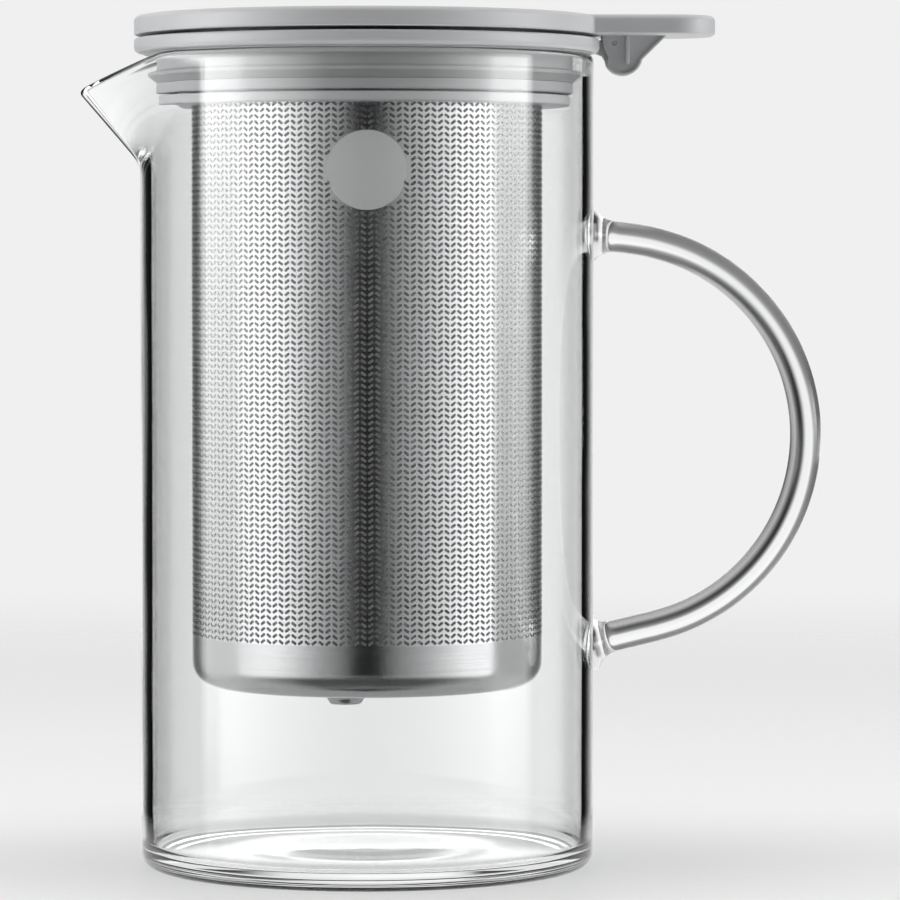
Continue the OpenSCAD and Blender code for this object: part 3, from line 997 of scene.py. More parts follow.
    def build(self, finishes: Finishes) -> None:
        """Makes and dresses the jug and the handle, whose flares follow the wall."""
        jug = self._body().make("glass_jug", finishes.glass, self.sharp)
        dress(jug, Body.PITCHER, Slot.GLASS, "glass_body")
        handle = self._handle().make("rod_handle", finishes.glass, self.sharp)
        reach = self.radius + self.weld
        low, high = self.lower_leg[-1][1] - self.cut_margin, self.upper_leg[0][1] + self.cut_margin
        wall = Solid().lathe([(0.0, low), (reach, low), (reach, high), (0.0, high)], 2 * self.segments)
        combine(handle, wall.make("wall_space", finishes.glass), Fuse.CUT, self.sharp)
        handle.visible_glossy = False
        dress(handle, Body.PITCHER, Slot.GLASS, "glass_handle")


@dataclass
class CollarSet:
    """The collar on the jug's rim with its hinge arm and the sealing sleeve in the neck."""

    flange_r: float = 53.8
    flange_low: float = 188.4
    flange_top: float = 191.7
    flange_edge: float = 1.2
    mouth_r: float = 43.0
    neck_r: float = 47.6
    neck_low: float = 178.8
    seal_low: float = 181.3
    seal_core_r: float = 46.2
    groove_r: float = 44.6
    groove_low: float = 180.6
    groove_top: float = 183.0
    lip_r: float = 49.6
    pad_r: float = 51.8
    arm_centre: Point2 = (59.3, 187.7)
    arm_r: float = 4.4
    arm_half: float = 1.1
    collar_sides: int = 256
    seal_sides: int = 224

    def _collar(self) -> Solid:
        """The turned collar."""
        return Solid().lathe(rounded([
            (self.mouth_r, self.neck_low, 0.4),
            (self.neck_r, self.neck_low, 0.5),
            (self.neck_r, self.seal_low, 0.25),
            (self.seal_core_r, self.seal_low, 0.0),
            (self.seal_core_r, self.flange_low, 0.0),
            (self.flange_r, self.flange_low, self.flange_edge),
            (self.flange_r, self.flange_top, 0.55),
            (self.mouth_r, self.flange_top, 0.6),
            (self.mouth_r, self.groove_top, 0.2),
            (self.groove_r, self.groove_top, 0.0),
            (self.groove_r, self.groove_low, 0.0),
            (self.mouth_r, self.groove_low, 0.2),
        ]), self.collar_sides)

    def _arm(self) -> Solid:
        """The hinge arm between the lid's cheeks."""
        x, z = self.arm_centre
        round_end = arc(self.arm_centre, self.arm_r, 200, 405, 30)
        root = self.flange_r - 2.0
        outline = [
            (root, self.flange_low + 0.35),
            (self.flange_r + 0.6, self.flange_low - 0.6),
            (self.flange_r + 1.25, self.flange_low - 1.7),
            *round_end,
            (x + 0.4, z + self.arm_r - 0.2),
            (root, self.flange_top - 0.35),
        ]
        return Solid().plate(outline, -self.arm_half, self.arm_half, 0.45, 0.45, upright, 5)

    def _seal(self) -> Solid:
        """The sleeve with its lip, and the pad on the jug's rim."""
        core = self.seal_core_r + 0.03
        return Solid().lathe(rounded([
            (core, self.seal_low + 0.02, 0.0),
            (self.neck_r - 0.05, self.seal_low + 0.02, 0.15),
            (self.lip_r, self.seal_low + 1.75, 0.25),
            (self.lip_r, self.seal_low + 2.55, 0.25),
            (self.neck_r, self.seal_low + 2.85, 0.5),
            (self.neck_r, self.flange_low - 0.3, 0.4),
            (self.pad_r, self.flange_low - 0.3, 0.1),
            (self.pad_r, self.flange_low - 0.02, 0.1),
            (core, self.flange_low - 0.02, 0.0),
        ]), self.seal_sides)

    def build(self, finishes: Finishes) -> None:
        """Makes and dresses the collar and its seal."""
        collar = self._collar().make("collar_ring", finishes.plastic)
        combine(collar, self._arm().make("hinge_arm", finishes.plastic), Fuse.UNION)
        dress(collar, Body.COLLAR, Slot.PLASTIC, "collar")
        seal = self._seal().make("neck_sleeve", finishes.silicone)
        dress(seal, Body.COLLAR, Slot.SILICONE, "neck_seal")


@dataclass
class LidSet:
    """The flip lid with its thumb tab and hinge cheeks, its seal and the hinge pin."""

    radius: float = 53.8
    low: float = 192.5
    top: float = 196.9
    edge: float = 1.2
    edge_low: float = 0.45
    tab_x: float = 80.3
    tab_half: float = 15.0
    tab_corner: float = 10.5
    tab_fillet: float = 0.9
    skirt_r: float = 42.2
    skirt_wall: float = 3.0
    skirt_low: float = 189.5
    hollow_top: float = 194.5
    groove_in: float = 44.68
    groove_out: float = 48.72
    groove_top: float = 193.3
    seal_in: float = 44.72
    seal_out: float = 48.68
    seal_low: float = 191.76
    seal_top: float = 193.28
    cheek_centre: Point2 = (59.3, 187.7)
    cheek_r: float = 4.4
    cheek_in: float = 1.3
    cheek_out: float = 2.4
    border_w: float = 0.55
    border_out: float = 3.1
    gusset_x: float = 69.2
    rib_x: float = 59.75
    rib_w: float = 0.9
    rib_low: float = 186.1
    rib_out: float = 3.4
    dimple: Point2 = (57.2, 190.8)
    dimple_r: float = 0.65
    dimple_deep: float = 0.55
    sides: int = 192

    def _plan(self) -> list[Point2]:
        """The lid's plan: a disc with the thumb tab filleted on."""
        half, corner, fillet = self.tab_half, self.tab_corner, self.tab_fillet
        root = math.sqrt((self.radius + fillet) ** 2 - (half + fillet) ** 2)
        turn = math.degrees(math.atan2(half + fillet, root))
        tip = arc((self.tab_x - corner, half - corner), corner, 0, 90, 16)
        bend = arc((root, half + fillet), fillet, 270, 180 + turn, 10)
        rim = arc((0.0, 0.0), self.radius, turn, 360 - turn, 200)
        upper = [*tip, *bend]
        lower = [(x, -y) for x, y in reversed(upper)]
        return [*upper, *rim[1:-1], *lower]

    def _cheek_outline(self) -> list[Point2]:
        """Outline of a hinge cheek in X and Z."""
        top = self.low + 1.7
        end = arc(self.cheek_centre, self.cheek_r, 205, 350, 22)
        return [
            (self.radius + 0.4, top),
            (self.radius + 0.45, self.low - 0.5),
            (self.radius + 0.95, self.low - 2.9),
            (self.radius + 2.0, self.low - 5.0),
            *end,
            (self.gusset_x, self.low - 0.1),
            (self.gusset_x, top),
        ]

    def _cheek(self, side: int) -> tuple[Solid, Solid, Solid, Solid]:
        """One cheek: its plate, the pocket cut into it, the rib on it and the dimple in it."""
        def place(u: float, v: float, level: float) -> Point3:
            """A point of an XZ outline on this cheek's side."""
            return (u, side * level, v)

        outline = self._cheek_outline()
        web = Solid().plate(outline, self.cheek_in, self.border_out, 0.1, 0.32, place, 4)
        pocket = Solid().plate(inset(outline, self.border_w), self.cheek_out, self.border_out + 1.0,
                               0.05, 0.05, place, 1)
        dent = Solid().plate(arc(self.dimple, self.dimple_r, 0, 345, 23), self.cheek_out - self.dimple_deep,
                             self.cheek_out + 0.6, 0.1, 0.0, place, 2)
        top = self.low + 0.5
        bar = rounded([(self.rib_x, self.rib_low, 0.3), (self.rib_x + self.rib_w, self.rib_low, 0.3),
                       (self.rib_x + self.rib_w, top, 0.0), (self.rib_x, top, 0.0)], 4)
        rib = Solid().plate(bar, self.cheek_in + 0.3, self.rib_out, 0.0, 0.22, place, 3)
        return web, pocket, rib, dent

    def _lid(self, finishes: Finishes) -> bpy.types.Object:
        """The lid with all that is moulded on it."""
        lid = Solid().plate(self._plan(), self.low, self.top, self.edge_low, self.edge, flat, 7).make(
            "lid_disc", finishes.plastic)
        hollow_r = self.skirt_r - self.skirt_wall
        skirt = Solid().lathe(rounded([
            (hollow_r - 0.4, self.skirt_low, 0.4), (self.skirt_r, self.skirt_low, 0.6),
            (self.skirt_r, self.low + 0.9, 0.0), (hollow_r - 0.4, self.low + 0.9, 0.0)]), self.sides)
        combine(lid, skirt.make("lid_skirt", finishes.plastic), Fuse.UNION)
        hollow = Solid().lathe(rounded([
            (0.0, self.skirt_low - 1.0, 0.0), (hollow_r, self.skirt_low - 1.0, 0.0),
            (hollow_r, self.hollow_top, 0.7), (0.0, self.hollow_top, 0.0)]), self.sides)
        combine(lid, hollow.make("lid_hollow", finishes.plastic), Fuse.CUT)
        groove = Solid().lathe([
            (self.groove_in, self.low - 1.0), (self.groove_out, self.low - 1.0),
            (self.groove_out, self.groove_top), (self.groove_in, self.groove_top)], self.sides)
        combine(lid, groove.make("lid_groove", finishes.plastic), Fuse.CUT)
        for side in (-1, 1):
            plate, pocket, rib, dent = self._cheek(side)
            cheek = plate.make("cheek", finishes.plastic)
            combine(cheek, pocket.make("pocket", finishes.plastic), Fuse.CUT)
            combine(lid, cheek, Fuse.UNION)
            combine(lid, rib.make("rib", finishes.plastic), Fuse.UNION)
            combine(lid, dent.make("dimple", finishes.plastic), Fuse.CUT)
        return lid

    def _seal(self) -> Solid:
        """The flat ring that closes the lid on the collar."""
        return Solid().lathe(rounded([
            (self.seal_in, self.seal_low, 0.3), (self.seal_out, self.seal_low, 0.3),
            (self.seal_out, self.seal_top, 0.05), (self.seal_in, self.seal_top, 0.05)], 4), self.sides)

    def build(self, finishes: Finishes) -> None:
        """Makes and dresses the lid, its seal and its pin."""
        dress(self._lid(finishes), Body.LID, Slot.PLASTIC, "flip_lid")
        # The lid seal's near-black finish paints the shade in the gap between lid and collar.
        dress(self._seal().make("lid_ring_seal", finishes.gap_shade_gasket), Body.LID, Slot.SILICONE, "lid_seal")
        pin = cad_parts["hinge_pin"]
        pin.data.materials.clear()
        pin.data.materials.append(finishes.steel)
        LOG.info("hinge_pin: the packed node with a steel finish")


@dataclass
class Infuser:
    """The infuser: its twist-in ring, the slotted strainer and the pressed bottom."""

    radius: float = 40.6
    sheet: float = 0.45
    columns: int = 160
    rows: int = 89
    slots_low: float = 54.14
    slots_top: float = 176.46
    slot_len: float = 1.36
    slot_w: float = 0.64
    web_depth: float = 0.2
    slot_tilt: float = 35.0
    bands: int = 6
    blank_z: float = 160.9
    blank_r: float = 9.2
    sheet_low: float = 49.15
    sheet_top: float = 177.2
    base_low: float = 42.1
    base_corner: float = 5.8
    base_wall: float = 0.6
    foot_ring: float = 28.0
    foot_r: float = 4.9
    foot_flat: float = 3.3
    foot_h: float = 1.9
    foot_angle: float = 260.0
    feet: int = 3
    base_sides: int = 288
    ring_r: float = 47.0
    ring_bore: float = 39.0
    ring_low: float = 176.1
    ring_top: float = 178.4
    spigot_r: float = 42.7
    spigot_top: float = 184.0
    lug_r: float = 44.3
    lug_low: float = 180.9
    lug_top: float = 182.7
    lug_angle: float = 24.0
    lugs: int = 3
    ring_sides: int = 224

    def _tiles(self, row_pitch: float) -> bpy.types.Mesh:
        """Tiles of sheet: a slot leaning each way, a plain one, and both slots with a thin web in them.

        Args:
            row_pitch: Height of a tile.

        Returns:
            A mesh whose faces carry their tile's number in the attribute kind, and a 1 in the attribute
            shaded where they are the outer side of a web.
        """
        wide = TAU * self.radius / self.columns
        mesh = bpy.data.meshes.new("strainer_tiles")
        shape = bmesh.new()
        for label in ("kind", "shaded"):
            shape.faces.layers.int.new(label)
        kind, shaded = (shape.faces.layers.int[label] for label in ("kind", "shaded"))
        corners = [(0.0, 0.0), (wide, 0.0), (wide, row_pitch), (0.0, row_pitch)]
        long, thin = self.slot_len / 2, self.slot_w / 2
        cut = 0.5 * thin
        end = [(long, -cut), (long, cut), (long - cut, thin), (cut - long, thin)]
        slot = [*end, *((-x, -y) for x, y in end)]
        tilt = self.slot_tilt
        for number, (lean, web) in enumerate(((tilt, 0), (-tilt, 0), (None, 0), (tilt, 1), (-tilt, 1))):
            cos, sin = (math.cos(math.radians(lean or 0.0)), math.sin(math.radians(lean or 0.0)))
            hole = [(wide / 2 + x * cos - y * sin, row_pitch / 2 + x * sin + y * cos) for x, y in slot]
            skins = []
            made = []
            for level in (0.0, -self.sheet):
                rim = [shape.verts.new((x * MM, y * MM, level * MM)) for x, y in corners]
                inner = []
                edges = [shape.edges.new((rim[i], rim[(i + 1) % 4])) for i in range(4)]
                if lean is not None:
                    inner = [shape.verts.new((x * MM, y * MM, level * MM)) for x, y in hole]
                    edges += [shape.edges.new((inner[i], inner[(i + 1) % 8])) for i in range(8)]
                filled = bmesh.ops.triangle_fill(shape, use_beauty=True, edges=edges)["geom"]
                for face in (g for g in filled if isinstance(g, bmesh.types.BMFace)):
                    face.normal_update()
                    if (face.normal.z < 0) != (level < 0.0):
                        face.normal_flip()
                    made.append(face)
                skins.append(inner)
            walls = [tuple(skins)]
            if web:
                walls = []
                for rim, level in ((skins[0], -self.web_depth), (skins[1], self.web_depth - self.sheet)):
                    floor = [shape.verts.new((v.co.x, v.co.y, level * MM)) for v in rim]
                    made.append(shape.faces.new(floor if rim is skins[0] else floor[::-1]))
                    made[-1][shaded] = int(rim is skins[0])
                    walls.append((rim, floor) if rim is skins[0] else (floor, rim))
            for outer, inner in walls:
                for i in range(len(outer)):
                    k = (i + 1) % len(outer)
                    made.append(shape.faces.new((outer[k], outer[i], inner[i], inner[k])))
            for face in made:
                face[kind] = number
        shape.to_mesh(mesh)
        shape.free()
        return mesh

    @staticmethod
    def _tree() -> bpy.types.NodeTree:
        """The node tree that lays tiles on a grid, rolls the sheet up and closes its seam."""
        tree = bpy.data.node_groups.new("slotted_tube", "GeometryNodeTree")
        for label, kind in (
            ("Geometry", "NodeSocketGeometry"), ("Columns", "NodeSocketInt"), ("Rows", "NodeSocketInt"),
            ("Radius", "NodeSocketFloat"), ("Row Pitch", "NodeSocketFloat"),
            ("Base Height", "NodeSocketFloat"), ("Blank Height", "NodeSocketFloat"),
            ("Blank Radius", "NodeSocketFloat"), ("Material", "NodeSocketMaterial"),
        ):
            tree.interface.new_socket(label, in_out="INPUT", socket_type=kind)
        tree.interface.new_socket("Geometry", in_out="OUTPUT", socket_type="NodeSocketGeometry")
        graph = Graph(tree)
        given = graph.node("NodeGroupInput").outputs
        round_length = graph.math("MULTIPLY", given["Radius"], TAU)
        pitch = graph.math("DIVIDE", round_length, given["Columns"])
        wide = graph.math("MULTIPLY", graph.math("SUBTRACT", given["Columns"], 1.0), pitch)
        high = graph.math("MULTIPLY", graph.math("SUBTRACT", given["Rows"], 1.0), given["Row Pitch"])
        grid = graph.node("GeometryNodeMeshGrid", {
            "Size X": wide, "Size Y": high, "Vertices X": given["Columns"], "Vertices Y": given["Rows"]})
        middle = graph.node("ShaderNodeCombineXYZ", {
            "X": graph.math("MULTIPLY", wide, 0.5), "Y": graph.math("MULTIPLY", high, 0.5)})
        points = graph.node("GeometryNodeTransform", {
            "Geometry": grid.outputs["Mesh"], "Translation": middle.outputs["Vector"]})
        spot = graph.node("ShaderNodeSeparateXYZ", {
            "Vector": graph.node("GeometryNodeInputPosition").outputs["Position"]}).outputs
        along = graph.math("SUBTRACT", graph.math("ADD", spot["X"], graph.math("MULTIPLY", pitch, 0.5)),
                           graph.math("MULTIPLY", round_length, 0.5))
        height = graph.math("ADD", spot["Y"], graph.math("MULTIPLY", given["Row Pitch"], 0.5))
        rise = graph.math("SUBTRACT", height,
                          graph.math("SUBTRACT", given["Blank Height"], given["Base Height"]))
        away = graph.math("SQRT", graph.math(
            "ADD", graph.math("MULTIPLY", along, along), graph.math("MULTIPLY", rise, rise)))
        blank = graph.math("LESS_THAN", away, given["Blank Radius"])
        quarter = graph.math("MULTIPLY", round_length, 0.25)
        rear = graph.math("GREATER_THAN", graph.math("ABSOLUTE", along), quarter)
        front = graph.math("SUBTRACT", graph.math("SUBTRACT", 1.0, rear), blank)
        odd = graph.math("MODULO", graph.math("ROUND", graph.math("DIVIDE", spot["X"], pitch)), 2.0)
        even = graph.math("SUBTRACT", 1.0, odd)
        picks = (
            graph.math("MULTIPLY", front, even), graph.math("MULTIPLY", front, odd), blank,
            graph.math("MULTIPLY", rear, even), graph.math("MULTIPLY", rear, odd),
        )
        kind = graph.node("GeometryNodeInputNamedAttribute", {"Name": "kind"}, data_type="INT")
        join = graph.node("GeometryNodeJoinGeometry")
        for number, pick in enumerate(picks):
            same = graph.node("FunctionNodeCompare", data_type="INT", operation="EQUAL")
            tree.links.new(kind.outputs["Attribute"], same.inputs[2])
            same.inputs[3].default_value = number
            tile = graph.node("GeometryNodeSeparateGeometry", {
                "Geometry": given["Geometry"], "Selection": same.outputs["Result"]}, domain="FACE")
            laid = graph.node("GeometryNodeInstanceOnPoints", {
                "Points": points.outputs["Geometry"], "Selection": graph.math("GREATER_THAN", pick, 0.5),
                "Instance": tile.outputs["Selection"]})
            tree.links.new(laid.outputs["Instances"], join.inputs["Geometry"])
        sheet = graph.node("GeometryNodeRealizeInstances", {"Geometry": join.outputs["Geometry"]})
        flat_at = graph.node("ShaderNodeSeparateXYZ", {
            "Vector": graph.node("GeometryNodeInputPosition").outputs["Position"]}).outputs
        angle = graph.math("ADD", graph.math("DIVIDE", flat_at["X"], given["Radius"]), math.pi / 2)
        reach = graph.math("ADD", given["Radius"], flat_at["Z"])
        rolled = graph.node("ShaderNodeCombineXYZ", {
            "X": graph.math("MULTIPLY", reach, graph.math("COSINE", angle)),
            "Y": graph.math("MULTIPLY", reach, graph.math("SINE", angle)),
            "Z": graph.math("ADD", flat_at["Y"], given["Base Height"])})
        tube = graph.node("GeometryNodeSetPosition", {
            "Geometry": sheet.outputs["Geometry"], "Position": rolled.outputs["Vector"]})
        closed = graph.node("GeometryNodeMergeByDistance", {
            "Geometry": tube.outputs["Geometry"], "Distance": 2e-6})
        whole = graph.node("GeometryNodeRealizeInstances", {"Geometry": closed.outputs["Geometry"]})
        dressed = graph.node("GeometryNodeSetMaterial", {
            "Geometry": whole.outputs["Geometry"], "Material": given["Material"]})
        graph.node("NodeGroupOutput", {"Geometry": dressed.outputs["Geometry"]})
        return tree

    def _band(self, number: int, tree: bpy.types.NodeTree, finishes: Finishes) -> bpy.types.Object:
        """One height of the slotted tube as a closed mesh.

        Args:
            number: Which of the bands, from the bottom.
            tree: The node tree that lays the slots.
            finishes: The materials.

        Returns:
            The band, with no modifier left on it.
        """
        row_pitch = (self.slots_top - self.slots_low) / self.rows
        first = self.rows * number // self.bands
        count = self.rows * (number + 1) // self.bands - first
        piece = bpy.data.objects.new(f"strainer_{number}", self._tiles(row_pitch))
        bpy.context.scene.collection.objects.link(piece)
        step = piece.modifiers.new("slots", "NODES")
        step.node_group = tree
        values = {
            "Columns": self.columns, "Rows": count, "Radius": self.radius * MM, "Row Pitch": row_pitch * MM,
            "Base Height": (self.slots_low + first * row_pitch) * MM, "Blank Height": self.blank_z * MM,
            "Blank Radius": self.blank_r * MM, "Material": finishes.steel,
        }
        for item in tree.interface.items_tree:
            if item.in_out == "INPUT" and item.name in values:
                step[item.identifier] = values[item.name]
        to_mesh(piece)
        piece.data.materials.clear()
        for finish in (finishes.steel, finishes.slot_shade):
            piece.data.materials.append(finish)
        shape = bmesh.new()
        shape.from_mesh(piece.data)
        open_edges = [e for e in shape.edges if e.is_boundary]
        middle = sum(e.verts[0].co.z for e in open_edges) / len(open_edges)
        for upper in (False, True):
            loop = [e for e in open_edges if (e.verts[0].co.z > middle) == upper]
            bmesh.ops.bridge_loops(shape, edges=loop)
        bmesh.ops.recalc_face_normals(shape, faces=shape.faces)
        shaded = shape.faces.layers.int["shaded"]
        for face in shape.faces:
            face.material_index = face[shaded]
        for layer in list(shape.faces.layers.int):
            shape.faces.layers.int.remove(layer)
        shape.to_mesh(piece.data)
        shape.free()
        shade(piece.data, 40.0)
        return piece

    def _edge_ring(self, low: float, top: float) -> Solid:
        """A plain ring of the strainer's sheet between two heights."""
        inner = self.radius - self.sheet
        section = [(inner, low), (self.radius, low), (self.radius, top), (inner, top)]
        return Solid().lathe(section, self.columns)

    def _foot_lift(self, x: float, y: float) -> float:
        """How far the bottom is pressed down into a foot at a plan position."""
        deep = 0.0
        for i in range(self.feet):
            angle = math.radians(self.foot_angle + 360.0 * i / self.feet)
            away = math.hypot(x - self.foot_ring * math.cos(angle), y - self.foot_ring * math.sin(angle))
            deep = max(deep, smoothstep(self.foot_r, self.foot_flat, away) if away < self.foot_r else 0.0)
        return -self.foot_h * deep

    def _base(self) -> Solid:
        """The pressed bottom with its three feet."""
        outer_pan = self.radius - self.base_corner
        outer = [(0.0, self.base_low)]
        fine, coarse = 0.45, 4.0
        feet_from, feet_to = self.foot_ring - self.foot_r - 0.6, self.foot_ring + self.foot_r
        radius = 2 * coarse
        while radius < outer_pan:
            outer.append((radius, self.base_low))
            radius += fine if feet_from < radius < feet_to else coarse
        corner = self.base_low + self.base_corner
        outer += arc((outer_pan, corner), self.base_corner, -90, 0, 12)
        outer.append((self.radius, self.sheet_low))
        wall = self.base_wall
        inner = [(self.radius - wall, self.sheet_low)]
        inner += arc((outer_pan, corner), self.base_corner - wall, 0, -90, 10)
        inner += [(r, z + wall) for r, z in reversed(outer)
                  if r < outer_pan - 0.3 and abs(z - self.base_low) < 0.01]
        return Solid().lathe([*outer, *inner], self.base_sides, self._foot_lift)

    def _ring(self, finishes: Finishes) -> bpy.types.Object:
        """The twist-in ring with its lugs."""
        turned = Solid().lathe(rounded([
            (self.ring_bore, self.ring_low, 0.4), (self.ring_r, self.ring_low, 0.5),
            (self.ring_r, self.ring_top, 0.4), (self.spigot_r, self.ring_top, 0.25),
            (self.spigot_r, self.spigot_top, 0.4), (self.ring_bore, self.spigot_top, 0.4)]), self.ring_sides)
        ring = turned.make("infuser_collar", finishes.ring)
        for i in range(self.lugs):
            start = 360.0 * i / self.lugs
            outline = [*arc((0.0, 0.0), self.lug_r, start, start + self.lug_angle, 14),
                       *arc((0.0, 0.0), self.spigot_r - 1.0, start + self.lug_angle, start, 14)]
            lug = Solid().plate(outline, self.lug_low, self.lug_top, 0.2, 0.2, flat, 2)
            combine(ring, lug.make("lug", finishes.ring), Fuse.UNION)
        return ring

    def build(self, finishes: Finishes) -> None:
        """Makes and dresses the ring, the strainer and the bottom."""
        dress(self._ring(finishes), Body.INFUSER, Slot.PLASTIC, "infuser_ring")
        tree = self._tree()
        for number in range(self.bands):
            nodes = ("infuser_strainer",) if number == 0 else ()
            dress(self._band(number, tree, finishes), Body.INFUSER, Slot.STEEL, *nodes)
        # The plain band under the slots and the bottom get the darker steel, as painted shade.
        lower = self._edge_ring(self.sheet_low, self.slots_low).make("strainer_foot_band", finishes.pressed)
        dress(lower, Body.INFUSER, Slot.STEEL)
        upper = self._edge_ring(self.slots_top, self.sheet_top).make("strainer_top_band", finishes.steel)
        dress(upper, Body.INFUSER, Slot.STEEL)
        bottom = self._base().make("strainer_bottom", finishes.pressed)
        dress(bottom, Body.INFUSER, Slot.STEEL, "infuser_base")


# Stage


def grey(level: float) -> Colour:
    """A grey as a colour."""
    return (level, level, level)


@dataclass(frozen=True)
class Ray:
    """What the surroundings know of a ray: its direction, and how often it was mirrored and passed glass."""

    way: bpy.types.NodeSocket
    x: bpy.types.NodeSocket
    z: bpy.types.NodeSocket
    turn: bpy.types.NodeSocket
    place: bpy.types.NodeSocket
    mirrored: bpy.types.NodeSocket
    passed: bpy.types.NodeSocket

    @staticmethod
    def read(graph: Graph, path: bpy.types.NodeOutputs) -> "Ray":
        """The ray's sockets: turn is its angle round Z from the camera's side, place that from 0 to 1."""
        way = graph.node("ShaderNodeTexCoord").outputs["Generated"]
        axis = graph.node("ShaderNodeSeparateXYZ", {"Vector": way}).outputs
        turn = graph.math("ARCTAN2", axis["X"], graph.math("MULTIPLY", axis["Y"], -1.0))
        place = graph.remap(turn, 0.0, 1.0, -math.pi, math.pi)
        return Ray(way, axis["X"], axis["Z"], turn, place, path["Glossy Depth"], path["Transmission Depth"])


@dataclass
class Studio:
    """Camera, floor, lamps and the soft surroundings.

    Levels give light by direction, in degrees round the Z axis from the camera's side, or in degrees from
    the window. Spans in Z are heights of a ray's unit direction, over which one light turns into another.
    """

    eye: Point3 = (0.0, -1.137, 0.1427)
    aim: Point3 = (0.01924, 0.0, 0.0966)
    lens: float = 196.0
    sensor: float = 36.0
    floor_r: float = 3.0
    floor_sides: int = 96
    lamps: tuple[tuple[str, Point3, float, float], ...] = (
        ("box_left", (-1.2, -0.12, 0.30), 0.9, 15.0),
        ("box_right", (1.2, -0.08, 0.30), 0.9, 13.3),
        ("box_top", (0.0, 0.0, 1.6), 1.2, 18.0),
    )
    lamp_aim: Point3 = (0.0, 0.0, 0.1)
    fill: float = 0.14
    backdrop: float = 0.87
    ceiling: float = 0.7
    ceiling_z: Span = (0.2, 0.45)
    under: float = 0.035
    under_aside: float = 0.45
    under_turn: Span = (48.0, 88.0)
    steep_up: float = 0.5
    steep_down: float = 0.24
    steep_z: Span = (0.16, 0.34)
    table: float = 1.7
    table_z: Span = (-0.25, -0.5)
    foot: float = 0.76
    foot_z: Span = (0.05, 0.1)
    mirror: Levels = (
        (-180, 1.25), (-168, 1.1), (-160, 0.25), (-152, 0.06), (-142, 0.14), (-131, 0.70), (-94, 0.74),
        (-90, 1.2), (-74, 1.5), (-60, 1.42), (-50, 1.12), (-34, 0.62), (-16, 0.28), (-7, 0.006), (7, 0.006),
        (18, 0.30), (36, 0.60), (54, 1.05), (66, 1.5), (88, 1.7), (91, 0.36), (132, 0.36), (144, 0.12),
        (152, 0.06), (160, 0.25), (168, 1.1), (180, 1.25))
    basket_gain: float = 2.2
    veil: Levels = (
        (-180, 1.0), (-168, 0.95), (-164, 0.7), (-161, 0.03), (-150, 0.004), (-124, 0.004), (-110, 0.25),
        (-93.2, 0.4), (-92, 7.5), (-72, 7.0), (-62, 4.2), (-50, 2.9), (-36, 1.7), (-22, 0.35), (0, 0.0),
        (22, 0.3), (32, 0.5), (45, 1.2), (58, 2.4), (66, 4.6), (69, 6.3), (90, 6.3), (93, 0.4), (110, 0.25),
        (124, 0.004), (154, 0.004), (158, 0.05), (162, 0.4), (167, 0.8), (180, 1.0))
    veil_front: float = 97.0
    veil_low: float = 0.15
    veil_low_z: Span = (-0.11, 0.03)
    veil_top: float = 0.22
    veil_top_z: Span = (0.10, 0.22)
    window: Point3 = (-0.068, 0.992, 0.111)
    window_lean: float = 0.3
    window_x: Span = (0.091, 0.25)
    rod_aside: float = 66.0
    window_right: Levels = (
        (0, 0.93), (10, 0.93), (12.5, 0.80), (15, 0.38), (17.5, 0.08), (20, 0.02), (25, 0.03), (28.5, 0.10),
        (33, 0.27), (40, 0.45), (50, 0.36), (64, 0.18), (90, 0.12))
    window_left: Levels = (
        (0, 0.93), (11, 0.93), (13, 0.68), (15.5, 0.36), (19, 0.23), (25, 0.15), (34, 0.12), (45, 0.10),
        (60, 0.05), (90, 0.03))
    through: Levels = (
        (-180, 0.90), (-177.3, 0.89), (-175.5, 0.80), (-172, 0.73), (-167, 0.66), (-164.5, 0.42),
        (-162, 0.18), (-158, 0.03), (-151, 0.01), (-147, 0.20), (-138, 0.42), (-128, 0.42), (-122, 0.05),
        (-118, 0.003), (-102, 0.003), (-98, 0.08), (-92, 0.9), (-60, 0.8), (0, 0.5), (60, 0.8), (92, 0.9),
        (97, 0.3), (101, 0.04), (104, 0.003), (119, 0.003), (124, 0.25), (134, 0.42), (152, 0.62),
        (164, 0.80), (172, 0.86), (177.3, 0.90), (180, 0.90))

    def camera(self) -> None:
        """Sets the camera where the photograph was taken from."""
        data = bpy.data.cameras.new("camera")
        data.lens = self.lens
        data.sensor_width = self.sensor
        camera = bpy.data.objects.new("camera", data)
        camera.location = self.eye
        camera.rotation_euler = (Vector(self.aim) - Vector(self.eye)).to_track_quat("-Z", "Y").to_euler()
        bpy.context.scene.collection.objects.link(camera)
        bpy.context.scene.camera = camera

    def floor(self) -> None:
        """A round pale floor."""
        mesh = bpy.data.meshes.new("floor")
        turns = [TAU * i / self.floor_sides for i in range(self.floor_sides)]
        rim = [(self.floor_r * math.cos(turn), self.floor_r * math.sin(turn), 0.0) for turn in turns]
        mesh.from_pydata(rim, [], [tuple(range(self.floor_sides))])
        mesh.materials.append(FloorFinish().material())
        floor = bpy.data.objects.new("floor", mesh)
        bpy.context.scene.collection.objects.link(floor)

    def lamp(self, name: str, place: Point3, size: float, power: float) -> None:
        """A square soft lamp turned to the object.

        Args:
            name: Name of the lamp.
            place: Where it hangs.
            size: Length of its side.
            power: Its power in watts.
        """
        data = bpy.data.lights.new(name, "AREA")
        data.shape = "SQUARE"
        data.size = size
        data.energy = power
        lamp = bpy.data.objects.new(name, data)
        lamp.location = place
        lamp.rotation_euler = (Vector(self.lamp_aim) - Vector(place)).to_track_quat("-Z", "Y").to_euler()
        lamp.visible_glossy = False
        lamp.visible_transmission = False
        bpy.context.scene.collection.objects.link(lamp)

